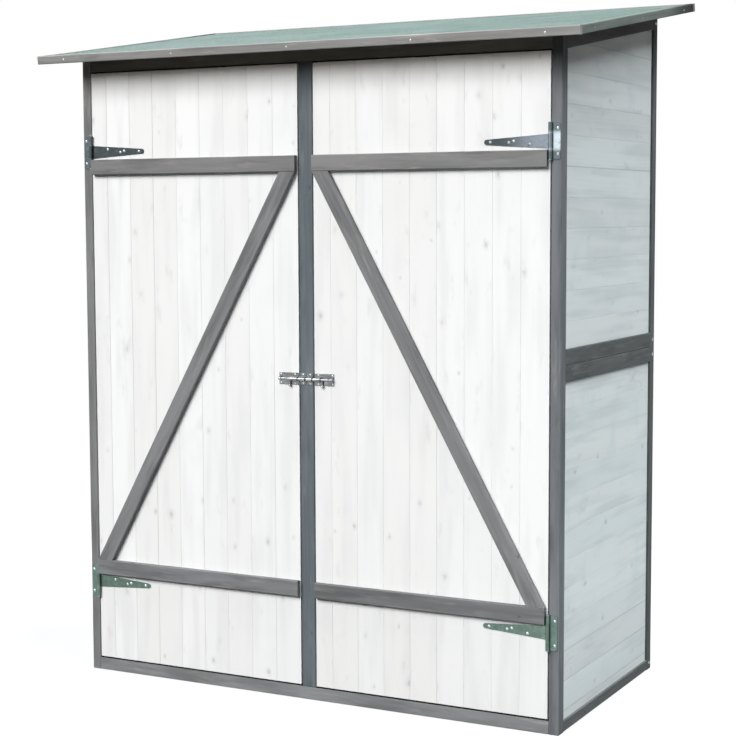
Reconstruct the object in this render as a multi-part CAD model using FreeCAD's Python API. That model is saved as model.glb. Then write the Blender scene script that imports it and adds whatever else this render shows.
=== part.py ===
import FreeCAD, Part

import math
import os

from FreeCAD import Placement, Rotation, Vector

# Garden storage cabinet with two doors and a single-pitch roof.
# Millimetres. +Z is up, the doors face -Y, and +X is to the right of someone facing the doors.
# The origin is on the ground, under the middle of the roof.

# Overall size
body_width = 1216.0
body_depth = 616.0
front_height = 1472.0
roof_pitch_deg = 9.15
side_overhang = 68.0
front_overhang = 80.0
back_overhang = 74.0

# Frame timber
frame_thickness = 23.0
front_frame_depth = 30.0
centre_post_width = 35.0
front_top_rail_height = 30.0
front_bottom_rail_height = 30.0
side_bottom_rail_height = 24.0
back_bottom_rail_height = 30.0
mid_rail_height = 35.0
side_top_rail_height = 33.0
back_top_rail_height = 36.0
stile_width = 28.0
muntin_width = 36.0
seam_height = 786.0
arris = 1.5

# Tongued and grooved boards
tongue_length = 4.0
tongue_thickness = 3.0
tongue_slack = 0.3
board_bevel = 0.4
board_gap = 0.2
least_board_width = 20.0

# Wall boards, let into grooves in the frames
wall_board_thickness = 10.0
wall_board_pitch = 65.0
wall_board_recess = 5.0
wall_groove_depth = 8.0
wall_groove_slack = 0.5
wall_board_end_gap = 1.0

# Doors
door_side_gap = 2.5
door_top_gap = 4.0
door_bottom_gap = 3.0
door_board_thickness = 12.0
door_board_pitch = 65.0
ledge_thickness = 12.0
ledge_height = 36.0
ledge_free_end_inset = 1.5
ledge_hinge_end_inset = 4.0
upper_ledge_drop = 206.0
lower_ledge_rise = 208.5
brace_width = 36.0

# T-hinges
hinge_metal = 2.0
knuckle_radius = 4.5
knuckle_standoff = 0.4
knuckle_end_gap = 0.5
hinge_pin_radius = 2.5
hinge_pin_clearance = 0.05
hinge_pin_head_radius = 3.6
hinge_pin_head_height = 1.5
strap_length = 150.0
strap_root_width = 30.0
strap_tip_radius = 5.5
strap_ledge_gap = 3.0
hinge_plate_height = 76.0
hinge_plate_edge_inset = 3.0
hinge_plate_corner_radius = 5.0
hinge_plate_notch_gap = 1.0
hinge_plate_screw_inset = 9.5
strap_screw_tip_distance = 14.0
strap_screw_pair_distance = 94.0
strap_screw_pair_spacing = 11.0
strap_screw_pair_stagger = 1.5
strap_screw_root_distance = 47.0
strap_screw_root_offset = 6.0

# Barrel bolts
bolt_metal = 1.5
bolt_plate_height = 27.0
bolt_plate_edge_inset = 0.5
bolt_rod_radius = 3.0
bolt_rod_clearance = 0.3
bolt_rod_lift = 0.5
bolt_guide_wall = 1.6
bolt_long_guide = 16.0
bolt_short_guide = 5.0
bolt_guide_end_inset = 1.5
bolt_tip_inset = 1.0
bolt_knob_radius = 3.2
bolt_knob_drop = 15.0
bolt_knob_stem_radius = 1.8
bolt_knob_stop_gap = 0.5
bolt_tip_engagement = 15.0
bolt_keep_length = 14.0
bolt_keep_edge_inset = 1.5
bolt_screw_drop = 9.8

# Screws and nails
hinge_screw_head_radius = 3.5
hinge_screw_head_height = 1.8
hinge_screw_shank_radius = 1.75
hinge_screw_length = 11.0
bolt_screw_head_radius = 2.5
bolt_screw_head_height = 1.2
bolt_screw_shank_radius = 1.3
bolt_screw_length = 10.0
screw_hole_clearance = 0.2
screw_point_length = 3.0
ledge_screw_head_radius = 3.2
ledge_screw_head_height = 1.0
ledge_screw_shank_radius = 1.5
ledge_screw_length = 20.0
ledge_screw_edge_inset = 30.0
ledge_screw_count = 5
brace_screw_count = 4
panel_screw_head_radius = 3.8
panel_screw_head_height = 1.0
panel_screw_shank_radius = 2.0
panel_screw_length = 46.0
roof_nail_head_radius = 2.6
roof_nail_head_height = 0.8
roof_nail_shank_radius = 1.2
roof_nail_length = 32.0
roof_nail_end_inset = 75.0
roof_nail_spacing = 290.0

# Roof
roof_board_thickness = 14.0
roof_board_pitch = 82.0
felt_thickness = 2.0
trim_thickness = 12.0
trim_height = 19.0
trim_drop = 1.0
rafter_width = 26.0
rafter_height = 44.0

# Floor
floor_board_thickness = 12.0
floor_board_pitch = 96.0
floor_side_gap = 1.0
floor_post_gap = 1.0
door_stop_gap = 1.0
floor_bearer_width = 34.0

# Shelf
shelf_rise = 32.0
shelf_depth = 470.0
shelf_board_thickness = 12.0
shelf_board_pitch = 78.0
shelf_side_gap = 1.0
shelf_back_gap = 2.0
shelf_cleat_thickness = 20.0
shelf_cleat_height = 30.0
shelf_bearer_width = 26.0

# Directions
RIGHT = Vector(1, 0, 0)
BACK = Vector(0, 1, 0)
UP = Vector(0, 0, 1)

# Places worked out from the sizes above
pitch = math.radians(roof_pitch_deg)
roof_half_width = body_width / 2 + side_overhang
roof_run = front_overhang + body_depth + back_overhang
roof_length = roof_run / math.cos(pitch)
deck_length = roof_length - 2 * trim_thickness
roof_box_depth = roof_run + trim_height * math.sin(pitch)
front = front_overhang + trim_height * math.sin(pitch) - roof_box_depth / 2
back = front + body_depth
half_width = body_width / 2
inner_half_width = half_width - frame_thickness
back_inner = back - frame_thickness
front_inner = front + front_frame_depth
stile_front = back - stile_width
opening_top = front_height - front_top_rail_height
lower_mid_rail_bottom = seam_height - mid_rail_height
upper_mid_rail_top = seam_height + mid_rail_height
door_left = centre_post_width / 2 + door_side_gap
door_right = inner_half_width - door_side_gap
door_bottom = front_bottom_rail_height + door_bottom_gap
door_top = opening_top - door_top_gap
upper_ledge_top = opening_top - upper_ledge_drop
lower_ledge_bottom = front_bottom_rail_height + lower_ledge_rise
ledge_left = door_left + ledge_free_end_inset
ledge_right = door_right - ledge_hinge_end_inset
ledge_front = front - ledge_thickness
hinge_x = inner_half_width - door_side_gap / 2
hinge_y = front - knuckle_radius - knuckle_standoff
upper_hinge_z = upper_ledge_top + strap_ledge_gap + strap_root_width / 2
lower_hinge_z = lower_ledge_bottom - strap_ledge_gap - strap_root_width / 2
bolt_height = (front_bottom_rail_height + opening_top) / 2
bolt_rod_y = front - bolt_metal - bolt_rod_lift - bolt_rod_radius
floor_top = front_bottom_rail_height + floor_board_thickness
shelf_top = seam_height + shelf_rise
shelf_underside = shelf_top - shelf_board_thickness
shelf_back = back_inner - shelf_back_gap
shelf_front = shelf_back - shelf_depth


def box(x0, x1, y0, y1, z0, z1):
    """A square-edged block between two corners."""
    return Part.makeBox(x1 - x0, y1 - y0, z1 - z0, Vector(x0, y0, z0))


def prism(points, along):
    """A straight piece whose section has these corners."""
    return Part.Face(Part.makePolygon(points + [points[0]])).extrude(along)


def side_prism(x0, x1, yz_points):
    """A piece cut to a profile seen from the side, between two widths."""
    return prism([Vector(x0, y, z) for y, z in yz_points], RIGHT * (x1 - x0))


def cylinder(start, direction, radius, length):
    """A round bar from a point."""
    return Part.makeCylinder(radius, length, start, direction)


def planed(piece, direction):
    """Takes the sharp corner off every long edge that runs this way."""
    edges = []
    for edge in piece.Edges:
        run = edge.Vertexes[-1].Point.sub(edge.Vertexes[0].Point)
        if run.Length > 2 * arris and run.cross(direction).Length < 1e-6 * run.Length:
            edges.append(edge)
    return piece.makeChamfer(arris, edges)


def mirrored(piece):
    """The same piece on the other side of the cabinet."""
    return piece.mirror(Vector(0, 0, 0), RIGHT)


def joined(pieces):
    """Several solids kept apart in one group."""
    return Part.makeCompound(pieces)


def roof_underside(y):
    """Height of the underside of the roof boards at a depth."""
    return front_height + (y - front) * math.tan(pitch)


# Boards


def board_profile(width, thickness, has_groove, has_tongue):
    """Corners of one board's section, as distances across it and in from its face."""
    low = board_gap / 2 if has_groove else 0.0
    high = width - board_gap / 2 if has_tongue else width
    tongue_face = (thickness - tongue_thickness) / 2
    tongue_back = (thickness + tongue_thickness) / 2
    groove_face = tongue_face - tongue_slack
    groove_back = tongue_back + tongue_slack
    groove_end = low + tongue_length + tongue_slack
    tongue_end = high + tongue_length
    corners = [(low, board_bevel), (low + board_bevel, 0.0), (high - board_bevel, 0.0), (high, board_bevel)]
    if has_tongue:
        corners += [(high, tongue_face), (tongue_end, tongue_face)]
        corners += [(tongue_end, tongue_back), (high, tongue_back)]
    corners += [(high, thickness), (low, thickness)]
    if has_groove:
        corners += [(low, groove_back), (groove_end, groove_back)]
        corners += [(groove_end, groove_face), (low, groove_face)]
    return corners


def even_widths(width, nominal_pitch):
    """Equal boards, as near the nominal pitch as fills the width exactly."""
    count = max(2, round(width / nominal_pitch))
    return [width / count] * count


def ripped_widths(width, full_width):
    """Boards of full width, with the first one cut down to fill what is left.

    Where that would be a mere strip, the first two boards share the room equally.
    """
    count = max(2, math.floor(width / full_width))
    rest = width - count * full_width
    if rest < least_board_width:
        shared = (rest + full_width) / 2
        return [shared, shared] + [full_width] * (count - 1)
    return [rest] + [full_width] * count


def boarding(corner, across, inward, along, widths, thickness):
    """A run of tongued and grooved boards of these widths, side by side from a corner."""
    boards = []
    for index, width in enumerate(widths):
        start = corner + across * sum(widths[:index])
        section = board_profile(width, thickness, index > 0, index < len(widths) - 1)
        points = [start + across * u + inward * w for u, w in section]
        boards.append(prism(points, along))
    return boards


# Screws and nails


def fixing(point, into, head_radius, head_height, shank_radius, length):
    """A round-headed screw or nail: its head stands on the point and its shank goes in."""
    dome_radius = (head_radius ** 2 + head_height ** 2) / (2 * head_height)
    half_angle = math.asin(head_radius / dome_radius) / 2
    crown = Vector(0, 0, -head_height)
    shoulder_radius = dome_radius * math.sin(half_angle)
    shoulder_drop = dome_radius * (1 - math.cos(half_angle))
    shoulder = Vector(shoulder_radius, 0, shoulder_drop - head_height)
    rim = Vector(head_radius, 0, 0)
    neck = Vector(shank_radius, 0, 0)
    shank_end = Vector(shank_radius, 0, length - screw_point_length)
    tip = Vector(0, 0, length)
    edges = [
        Part.Arc(crown, shoulder, rim).toShape(),
        Part.LineSegment(rim, neck).toShape(),
        Part.LineSegment(neck, shank_end).toShape(),
        Part.LineSegment(shank_end, tip).toShape(),
        Part.LineSegment(tip, crown).toShape(),
    ]
    solid = Part.Face(Part.Wire(edges)).revolve(Vector(0, 0, 0), UP, 360)
    solid.Placement = Placement(point, Rotation(UP, into))
    return solid


def hinge_screw(x, z):
    """A screw in a hinge leaf on the front of the cabinet."""
    return fixing(
        Vector(x, front - hinge_metal, z),
        BACK,
        hinge_screw_head_radius,
        hinge_screw_head_height,
        hinge_screw_shank_radius,
        hinge_screw_length,
    )


def bolt_screw(x, z):
    """A screw in a bolt plate or a keep on the front of the cabinet."""
    return fixing(
        Vector(x, front - bolt_metal, z),
        BACK,
        bolt_screw_head_radius,
        bolt_screw_head_height,
        bolt_screw_shank_radius,
        bolt_screw_length,
    )


def drilled(piece, fixings):
    """The piece with a hole wherever one of the fixings goes into it."""
    for item in fixings:
        if piece.BoundBox.intersect(item.BoundBox):
            piece = piece.cut(item)
    return piece


def plate_with_holes(plate, centres, y0, thickness, radius):
    """A front-facing metal plate with a clearance hole at each screw."""
    for x, z in centres:
        plate = plate.cut(cylinder(Vector(x, y0 - thickness, z), BACK, radius, 3 * thickness))
    return plate


# Wall panels, built for the right-hand side and the right half of the back


def side_panel_space(z0, top_points):
    """The space that a side panel's boards fill, from a level up to a sloped or level top."""
    face = half_width - wall_board_recess
    y0 = front_inner - wall_groove_depth
    y1 = stile_front + wall_groove_depth
    low_front = (y0, z0)
    low_back = (y1, z0)
    high_back = (y1, top_points(y1))
    high_front = (y0, top_points(y0))
    return face, [low_front, low_back, high_back, high_front]


def side_groove(z0, top_points):
    """The groove that takes a side panel's boards."""
    face, corners = side_panel_space(z0, top_points)
    return side_prism(face - wall_board_thickness - wall_groove_slack, face, corners)


def wall_board_widths(low, high):
    """Widths of a panel's boards from the bottom up, with the whole ones starting at the seam."""
    widths = ripped_widths(high - low, wall_board_pitch)
    return widths if low < seam_height else widths[::-1]


def side_boards(z0, top_points):
    """A side panel's boards, laid level and cut to the panel's outline."""
    face, corners = side_panel_space(z0, lambda y: top_points(y) - wall_board_end_gap)
    y0 = corners[0][0] + wall_board_end_gap
    y1 = corners[1][0] - wall_board_end_gap
    outline = side_prism(
        face - wall_board_thickness, face, [(y0, z0), (y1, z0), (y1, corners[2][1]), (y0, corners[3][1])]
    )
    widths = wall_board_widths(z0, corners[2][1])
    boards = boarding(Vector(face, y0, z0), UP, -RIGHT, BACK * (y1 - y0), widths, wall_board_thickness)
    return [board.common(outline) for board in boards]


def lower_groove_top(_y):
    """Level top of the groove under the seam."""
    return seam_groove_top


def upper_groove_top(y):
    """Sloped top of the groove in the side top rail."""
    return roof_underside(y) - side_top_rail_height + wall_groove_depth


lower_side_groove_bottom = side_bottom_rail_height - wall_groove_depth
upper_groove_bottom = upper_mid_rail_top - wall_groove_depth
back_lower_groove_bottom = back_bottom_rail_height - wall_groove_depth
back_top_rail_bottom = roof_underside(back_inner) - back_top_rail_height
back_upper_groove_top = back_top_rail_bottom + wall_groove_depth
seam_groove_top = lower_mid_rail_bottom + wall_groove_depth


def back_bays(z0, z1, end_gap):
    """The space of the boards in the right-hand bay of the back, between two levels."""
    x0 = muntin_width / 2 - wall_groove_depth + end_gap
    x1 = inner_half_width + wall_groove_depth - end_gap
    return x0, x1, z0, z1 - end_gap


def back_groove(z0, z1):
    """The groove that takes the boards of the right-hand bay of the back."""
    x0, x1, low, high = back_bays(z0, z1, 0.0)
    face = back - wall_board_recess
    return box(x0, x1, face - wall_board_thickness - wall_groove_slack, face, low, high)


def back_boards(z0, z1):
    """The boards of the right-hand bay of the back."""
    x0, x1, low, high = back_bays(z0, z1, wall_board_end_gap)
    face = back - wall_board_recess
    corner = Vector(x0, face, low)
    along = RIGHT * (x1 - x0)
    return boarding(corner, UP, -BACK, along, wall_board_widths(low, high), wall_board_thickness)


def wall_grooves():
    """Every groove on the right-hand side and the right half of the back."""
    return [
        side_groove(lower_side_groove_bottom, lower_groove_top),
        side_groove(upper_groove_bottom, upper_groove_top),
        back_groove(back_lower_groove_bottom, seam_groove_top),
        back_groove(upper_groove_bottom, back_upper_groove_top),
    ]


def grooved(piece, grooves):
    """The piece with every groove that reaches it cut out."""
    for groove in grooves:
        if piece.BoundBox.intersect(groove.BoundBox):
            piece = piece.cut(groove)
    return piece


def panel_screws():
    """Screws through the right-hand back stiles into the ends of the back rails."""
    y = back - frame_thickness / 2
    levels = [
        back_bottom_rail_height / 2,
        seam_height - mid_rail_height / 2,
        seam_height + mid_rail_height / 2,
        back_top_rail_bottom + back_top_rail_height / 2,
    ]
    return [
        fixing(
            Vector(half_width, y, z),
            -RIGHT,
            panel_screw_head_radius,
            panel_screw_head_height,
            panel_screw_shank_radius,
            panel_screw_length,
        )
        for z in levels
    ]


def side_frames(grooves, screws):
    """The two framed panels of the right-hand side, as groups of rails and stiles."""
    x0 = inner_half_width
    x1 = half_width
    lower_stile = box(x0, x1, stile_front, back, 0, seam_height)
    bottom_rail = box(x0, x1, front_inner, stile_front, 0, side_bottom_rail_height)
    lower_mid_rail = box(x0, x1, front_inner, stile_front, lower_mid_rail_bottom, seam_height)
    upper_stile = side_prism(
        x0,
        x1,
        [
            (stile_front, seam_height),
            (back, seam_height),
            (back, roof_underside(back)),
            (stile_front, roof_underside(stile_front)),
        ],
    )
    upper_mid_rail = box(x0, x1, front_inner, stile_front, seam_height, upper_mid_rail_top)
    top_rail = side_prism(
        x0,
        x1,
        [
            (front_inner, roof_underside(front_inner) - side_top_rail_height),
            (stile_front, roof_underside(stile_front) - side_top_rail_height),
            (stile_front, roof_underside(stile_front)),
            (front_inner, roof_underside(front_inner)),
        ],
    )
    slope = Vector(0, math.cos(pitch), math.sin(pitch))
    lower = [planed(lower_stile, UP), planed(bottom_rail, BACK), planed(lower_mid_rail, BACK)]
    upper = [planed(upper_stile, UP), planed(upper_mid_rail, BACK), planed(top_rail, slope)]
    return (
        [drilled(grooved(piece, grooves), screws) for piece in lower],
        [drilled(grooved(piece, grooves), screws) for piece in upper],
    )


def back_frames(grooves, screws):
    """The two framed panels of the back, as groups of rails and a muntin."""
    x0 = -inner_half_width
    x1 = inner_half_width
    half_muntin = muntin_width / 2
    bottom_rail = box(x0, x1, back_inner, back, 0, back_bottom_rail_height)
    lower_mid_rail = box(x0, x1, back_inner, back, lower_mid_rail_bottom, seam_height)
    lower_muntin = box(
        -half_muntin, half_muntin, back_inner, back, back_bottom_rail_height, lower_mid_rail_bottom
    )
    upper_mid_rail = box(x0, x1, back_inner, back, seam_height, upper_mid_rail_top)
    upper_muntin = box(
        -half_muntin, half_muntin, back_inner, back, upper_mid_rail_top, back_top_rail_bottom
    )
    top_rail = side_prism(
        x0,
        x1,
        [
            (back_inner, back_top_rail_bottom),
            (back, back_top_rail_bottom),
            (back, roof_underside(back)),
            (back_inner, roof_underside(back_inner)),
        ],
    )
    lower = [planed(bottom_rail, RIGHT), planed(lower_mid_rail, RIGHT), planed(lower_muntin, UP)]
    upper = [planed(top_rail, RIGHT), planed(upper_mid_rail, RIGHT), planed(upper_muntin, UP)]
    return (
        [drilled(grooved(piece, grooves), screws) for piece in lower],
        [drilled(grooved(piece, grooves), screws) for piece in upper],
    )


def front_post(grooves, screws):
    """The right-hand front post, cut to the slope of the roof."""
    post = side_prism(
        inner_half_width,
        half_width,
        [
            (front, 0),
            (front_inner, 0),
            (front_inner, roof_underside(front_inner)),
            (front, roof_underside(front)),
        ],
    )
    return drilled(grooved(planed(post, UP), grooves), screws)


def centre_post(screws):
    """The post between the doors."""
    half = centre_post_width / 2
    post = box(-half, half, front, front_inner, front_bottom_rail_height, opening_top)
    return drilled(planed(post, UP), screws)


def front_top_rail():
    """The rail over the doors, cut to the slope of the roof."""
    rail = side_prism(
        -inner_half_width,
        inner_half_width,
        [
            (front, opening_top),
            (front_inner, opening_top),
            (front_inner, roof_underside(front_inner)),
            (front, roof_underside(front)),
        ],
    )
    return planed(rail, RIGHT)


def front_bottom_rail():
    """The rail under the doors."""
    rail = box(-inner_half_width, inner_half_width, front, front_inner, 0, front_bottom_rail_height)
    return planed(rail, RIGHT)


# Hinges, built for the right-hand door


def plate_screw_centres(z):
    """Where the screws of a hinge plate go."""
    x = half_width - hinge_plate_screw_inset
    eye_end = strap_root_width / 2
    drop = (eye_end + hinge_plate_height / 2) / 2
    return [(x, z - drop), (x, z + drop)]


def strap_screw_centres(z, hand):
    """Where the screws of a strap go. The strap is turned over for the other hand."""
    distances = [
        (strap_length - strap_screw_tip_distance, 0.0),
        (strap_screw_pair_distance, -strap_screw_pair_stagger),
        (strap_screw_pair_distance - strap_screw_pair_spacing, strap_screw_pair_stagger),
        (strap_screw_root_distance, -strap_screw_root_offset),
    ]
    return [(hinge_x - distance, z + hand * offset) for distance, offset in distances]


def knuckle(z0, z1):
    """A rolled eye round the hinge pin between two levels, still solid."""
    return cylinder(Vector(hinge_x, hinge_y, z0), UP, knuckle_radius, z1 - z0)


def pin_hole(z):
    """The hole for the hinge pin through a whole hinge."""
    start = Vector(hinge_x, hinge_y, z - hinge_plate_height)
    return cylinder(start, UP, hinge_pin_radius + hinge_pin_clearance, 2 * hinge_plate_height)


def hinge_plate(z):
    """The upright plate on the post, with an eye above and below the strap's."""
    half = hinge_plate_height / 2
    right = half_width - hinge_plate_edge_inset
    leaf = box(hinge_x, right, front - hinge_metal, front, z - half, z + half)
    corners = [
        edge
        for edge in leaf.Edges
        if abs(edge.Vertexes[0].X - right) < 1e-6 and abs(edge.Vertexes[-1].X - right) < 1e-6
        and abs(edge.Vertexes[0].Y - edge.Vertexes[-1].Y) > hinge_metal / 2
    ]
    leaf = leaf.makeFillet(hinge_plate_corner_radius, corners)
    gap_half = strap_root_width / 2 + knuckle_end_gap
    plate = leaf.fuse([knuckle(z - half, z - gap_half), knuckle(z + gap_half, z + half)])
    notch = box(
        hinge_x - 2 * knuckle_radius,
        hinge_x + knuckle_radius + hinge_plate_notch_gap,
        hinge_y - 2 * knuckle_radius,
        front + hinge_metal,
        z - gap_half,
        z + gap_half,
    )
    plate = plate.cut(notch).cut(pin_hole(z))
    hole_radius = hinge_screw_shank_radius + screw_hole_clearance
    return plate_with_holes(plate, plate_screw_centres(z), front, hinge_metal, hole_radius).removeSplitter()


def hinge_strap(z, hand):
    """The long tapered strap on the door, with one eye between the plate's two."""
    y = front - hinge_metal
    root = strap_root_width / 2
    tip_x = hinge_x - strap_length + strap_tip_radius
    upper_root = Vector(hinge_x, y, z + root)
    lower_root = Vector(hinge_x, y, z - root)
    upper_tip = Vector(tip_x, y, z + strap_tip_radius)
    lower_tip = Vector(tip_x, y, z - strap_tip_radius)
    end = Vector(hinge_x - strap_length, y, z)
    outline = [
        Part.LineSegment(upper_root, upper_tip).toShape(),
        Part.Arc(upper_tip, end, lower_tip).toShape(),
        Part.LineSegment(lower_tip, lower_root).toShape(),
        Part.LineSegment(lower_root, upper_root).toShape(),
    ]
    leaf = Part.Face(Part.Wire(outline)).extrude(BACK * hinge_metal)
    strap = leaf.fuse(knuckle(z - root, z + root)).cut(pin_hole(z))
    hole_radius = hinge_screw_shank_radius + screw_hole_clearance
    centres = strap_screw_centres(z, hand)
    return plate_with_holes(strap, centres, front, hinge_metal, hole_radius).removeSplitter()


def hinge_pin(z):
    """A riveted pin whose heads hold it in the plate's eyes."""
    half = hinge_plate_height / 2
    shank = cylinder(Vector(hinge_x, hinge_y, z - half), UP, hinge_pin_radius, hinge_plate_height)
    lower = Vector(hinge_x, hinge_y, z - half - hinge_pin_head_height)
    upper = Vector(hinge_x, hinge_y, z + half)
    heads = [cylinder(start, UP, hinge_pin_head_radius, hinge_pin_head_height) for start in (lower, upper)]
    return shank.fuse(heads).removeSplitter()


# Barrel bolts, built for the right-hand door

bolt_travel = bolt_tip_engagement + door_side_gap + bolt_tip_inset
bolt_plate_left = door_left + bolt_plate_edge_inset
long_guide_left = bolt_plate_left + bolt_guide_end_inset
long_guide_right = long_guide_left + bolt_long_guide
knob_x = long_guide_right + bolt_knob_stop_gap + bolt_knob_radius
short_guide_left = knob_x + bolt_travel + bolt_knob_radius + bolt_knob_stop_gap
short_guide_right = short_guide_left + bolt_short_guide
bolt_plate_right = short_guide_right + bolt_guide_end_inset
rod_left = door_left - door_side_gap - bolt_tip_engagement
keep_right = centre_post_width / 2 - bolt_keep_edge_inset
keep_left = keep_right - bolt_keep_length


def bolt_leaf(x0, x1):
    """The flat metal under the bolt or its keep."""
    half = bolt_plate_height / 2
    return box(x0, x1, front - bolt_metal, front, bolt_height - half, bolt_height + half)


def rod_loop(x0, x1):
    """A pressed loop over the bolt's rod, from the plate's face."""
    outer = bolt_rod_radius + bolt_rod_clearance + bolt_guide_wall
    arch = cylinder(Vector(x0, bolt_rod_y, bolt_height), RIGHT, outer, x1 - x0)
    foot = box(x0, x1, bolt_rod_y, front - bolt_metal, bolt_height - outer, bolt_height + outer)
    behind = box(x0, x1, front - bolt_metal, front + outer, bolt_height - outer, bolt_height + outer)
    return arch.fuse(foot).cut(behind)


def rod_passage(x0, x1):
    """The round way that the rod needs through loops."""
    start = Vector(x0, bolt_rod_y, bolt_height)
    return cylinder(start, RIGHT, bolt_rod_radius + bolt_rod_clearance, x1 - x0)


def bolt_screw_centres():
    """Where the screws of the bolt's plate go."""
    near = (long_guide_left + long_guide_right) / 2
    far = (short_guide_left + short_guide_right) / 2
    return [(x, bolt_height + drop) for x in (near, far) for drop in (-bolt_screw_drop, bolt_screw_drop)]


def keep_screw_centres():
    """Where the screws of the keep go."""
    x = (keep_left + keep_right) / 2
    return [(x, bolt_height - bolt_screw_drop), (x, bolt_height + bolt_screw_drop)]


def bolt_plate():
    """The plate on the door with its two loops for the rod."""
    base = bolt_leaf(bolt_plate_left, bolt_plate_right)
    loops = [rod_loop(long_guide_left, long_guide_right), rod_loop(short_guide_left, short_guide_right)]
    plate = base.fuse(loops).cut(rod_passage(bolt_plate_left, bolt_plate_right))
    hole_radius = bolt_screw_shank_radius + screw_hole_clearance
    return plate_with_holes(plate, bolt_screw_centres(), front, bolt_metal, hole_radius).removeSplitter()


def bolt_keep():
    """The keep on the centre post that the rod shoots into."""
    base = bolt_leaf(keep_left, keep_right)
    loop = rod_loop(keep_left, keep_right)
    keep = base.fuse(loop).cut(rod_passage(keep_left, keep_right))
    hole_radius = bolt_screw_shank_radius + screw_hole_clearance
    return plate_with_holes(keep, keep_screw_centres(), front, bolt_metal, hole_radius).removeSplitter()


def bolt_rod():
    """The sliding rod, shot into the keep, with its knob hanging between the loops."""
    start = Vector(rod_left, bolt_rod_y, bolt_height)
    rod = cylinder(start, RIGHT, bolt_rod_radius, bolt_plate_right - rod_left)
    knob_centre = Vector(knob_x, bolt_rod_y, bolt_height - bolt_knob_drop)
    stem = cylinder(knob_centre, UP, bolt_knob_stem_radius, bolt_knob_drop)
    knob = Part.makeSphere(bolt_knob_radius, knob_centre)
    return rod.fuse([stem, knob]).removeSplitter()


# Doors, built for the right-hand side


def ledge(z0):
    """A level batten across the front of the door."""
    return planed(box(ledge_left, ledge_right, ledge_front, front, z0, z0 + ledge_height), RIGHT)


def brace_corners():
    """The brace's four corners, from the free end of the upper ledge down to the hinge side.

    Its ends are cut level against the ledges, and its level width follows from its slope.
    """
    bottom = lower_ledge_bottom + ledge_height
    top = upper_ledge_top - ledge_height
    length = ledge_right - ledge_left
    height = top - bottom
    square = brace_width ** 2
    spare = height ** 2 - square
    root = math.sqrt((square * length) ** 2 + spare * square * (length ** 2 + height ** 2))
    level_width = (root - square * length) / spare
    return [
        Vector(ledge_left, ledge_front, top),
        Vector(ledge_left + level_width, ledge_front, top),
        Vector(ledge_right, ledge_front, bottom),
        Vector(ledge_right - level_width, ledge_front, bottom),
    ]


def brace():
    """The diagonal batten between the ledges."""
    corners = brace_corners()
    return planed(prism(corners, BACK * ledge_thickness), corners[2].sub(corners[1]))


def ledge_screw(x, z):
    """A screw from inside the door through its boards into a batten."""
    return fixing(
        Vector(x, front + door_board_thickness, z),
        -BACK,
        ledge_screw_head_radius,
        ledge_screw_head_height,
        ledge_screw_shank_radius,
        ledge_screw_length,
    )


def batten_screws():
    """The screws that hold the ledges and the brace to the door's boards."""
    screws = []
    first = ledge_left + ledge_screw_edge_inset
    step = (ledge_right - ledge_screw_edge_inset - first) / (ledge_screw_count - 1)
    for middle in (lower_ledge_bottom + ledge_height / 2, upper_ledge_top - ledge_height / 2):
        screws += [ledge_screw(first + index * step, middle) for index in range(ledge_screw_count)]
    corners = brace_corners()
    top = (corners[0] + corners[1]) * 0.5
    bottom = (corners[2] + corners[3]) * 0.5
    for index in range(brace_screw_count):
        place = top + (bottom - top) * ((index + 1) / (brace_screw_count + 1))
        screws.append(ledge_screw(place.x, place.z))
    return screws


def door_board_widths(hand):
    """Widths of a door's boards outward from the centre post, for hand 1 or -1.

    Both doors are boarded alike, so the board cut to fit is the one on the left of each.
    """
    widths = ripped_widths(door_right - door_left, door_board_pitch)
    return widths if hand > 0 else widths[::-1]


def door(hand):
    """Every piece of one door with its bolt, as it lies on the right-hand side."""
    hinge_levels = {"upper": upper_hinge_z, "lower": lower_hinge_z}
    screws = batten_screws()
    for z in hinge_levels.values():
        screws += [hinge_screw(x, centre_z) for x, centre_z in strap_screw_centres(z, hand)]
    screws += [bolt_screw(x, z) for x, z in bolt_screw_centres()]
    boards = boarding(
        Vector(door_left, front, door_bottom),
        RIGHT,
        BACK,
        UP * (door_top - door_bottom),
        door_board_widths(hand),
        door_board_thickness,
    )
    pieces = {
        "door_boards": joined([drilled(board, screws) for board in boards]),
        "upper_ledge": drilled(ledge(upper_ledge_top - ledge_height), screws),
        "lower_ledge": drilled(ledge(lower_ledge_bottom), screws),
        "door_brace": drilled(brace(), screws),
        "door_screws": joined(screws),
        "bolt_plate": bolt_plate(),
        "bolt_rod": bolt_rod(),
    }
    for level, z in hinge_levels.items():
        pieces[level + "_hinge_strap"] = hinge_strap(z, hand)
    return pieces


# Roof, laid out in its own slope: along it from the front edge of the boards, and up from their underside


def roof_point(x, along, up):
    """A point given along the slope and square to it."""
    start_y = front - front_overhang + trim_thickness * math.cos(pitch) - trim_drop * math.sin(pitch)
    start = Vector(0, start_y, roof_underside(start_y))
    slope = Vector(0, math.cos(pitch), math.sin(pitch))
    normal = Vector(0, -math.sin(pitch), math.cos(pitch))
    return start + RIGHT * x + slope * along + normal * up


def roof_block(x0, x1, along0, along1, up0, up1):
    """A block lying in the slope of the roof."""
    piece = Part.makeBox(x1 - x0, along1 - along0, up1 - up0)
    piece.Placement = Placement(roof_point(x0, along0, up0), Rotation(RIGHT, roof_pitch_deg))
    return piece


def nail_places(span):
    """Evenly spaced places along an edge, from one end inset to the other."""
    run = span - 2 * roof_nail_end_inset
    count = max(1, round(run / roof_nail_spacing))
    return [roof_nail_end_inset + run * index / count for index in range(count + 1)]


def roof_nail(point, into):
    """A nail through a roof trim into the edge of the boards."""
    return fixing(
        point, into, roof_nail_head_radius, roof_nail_head_height, roof_nail_shank_radius, roof_nail_length
    )


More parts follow.
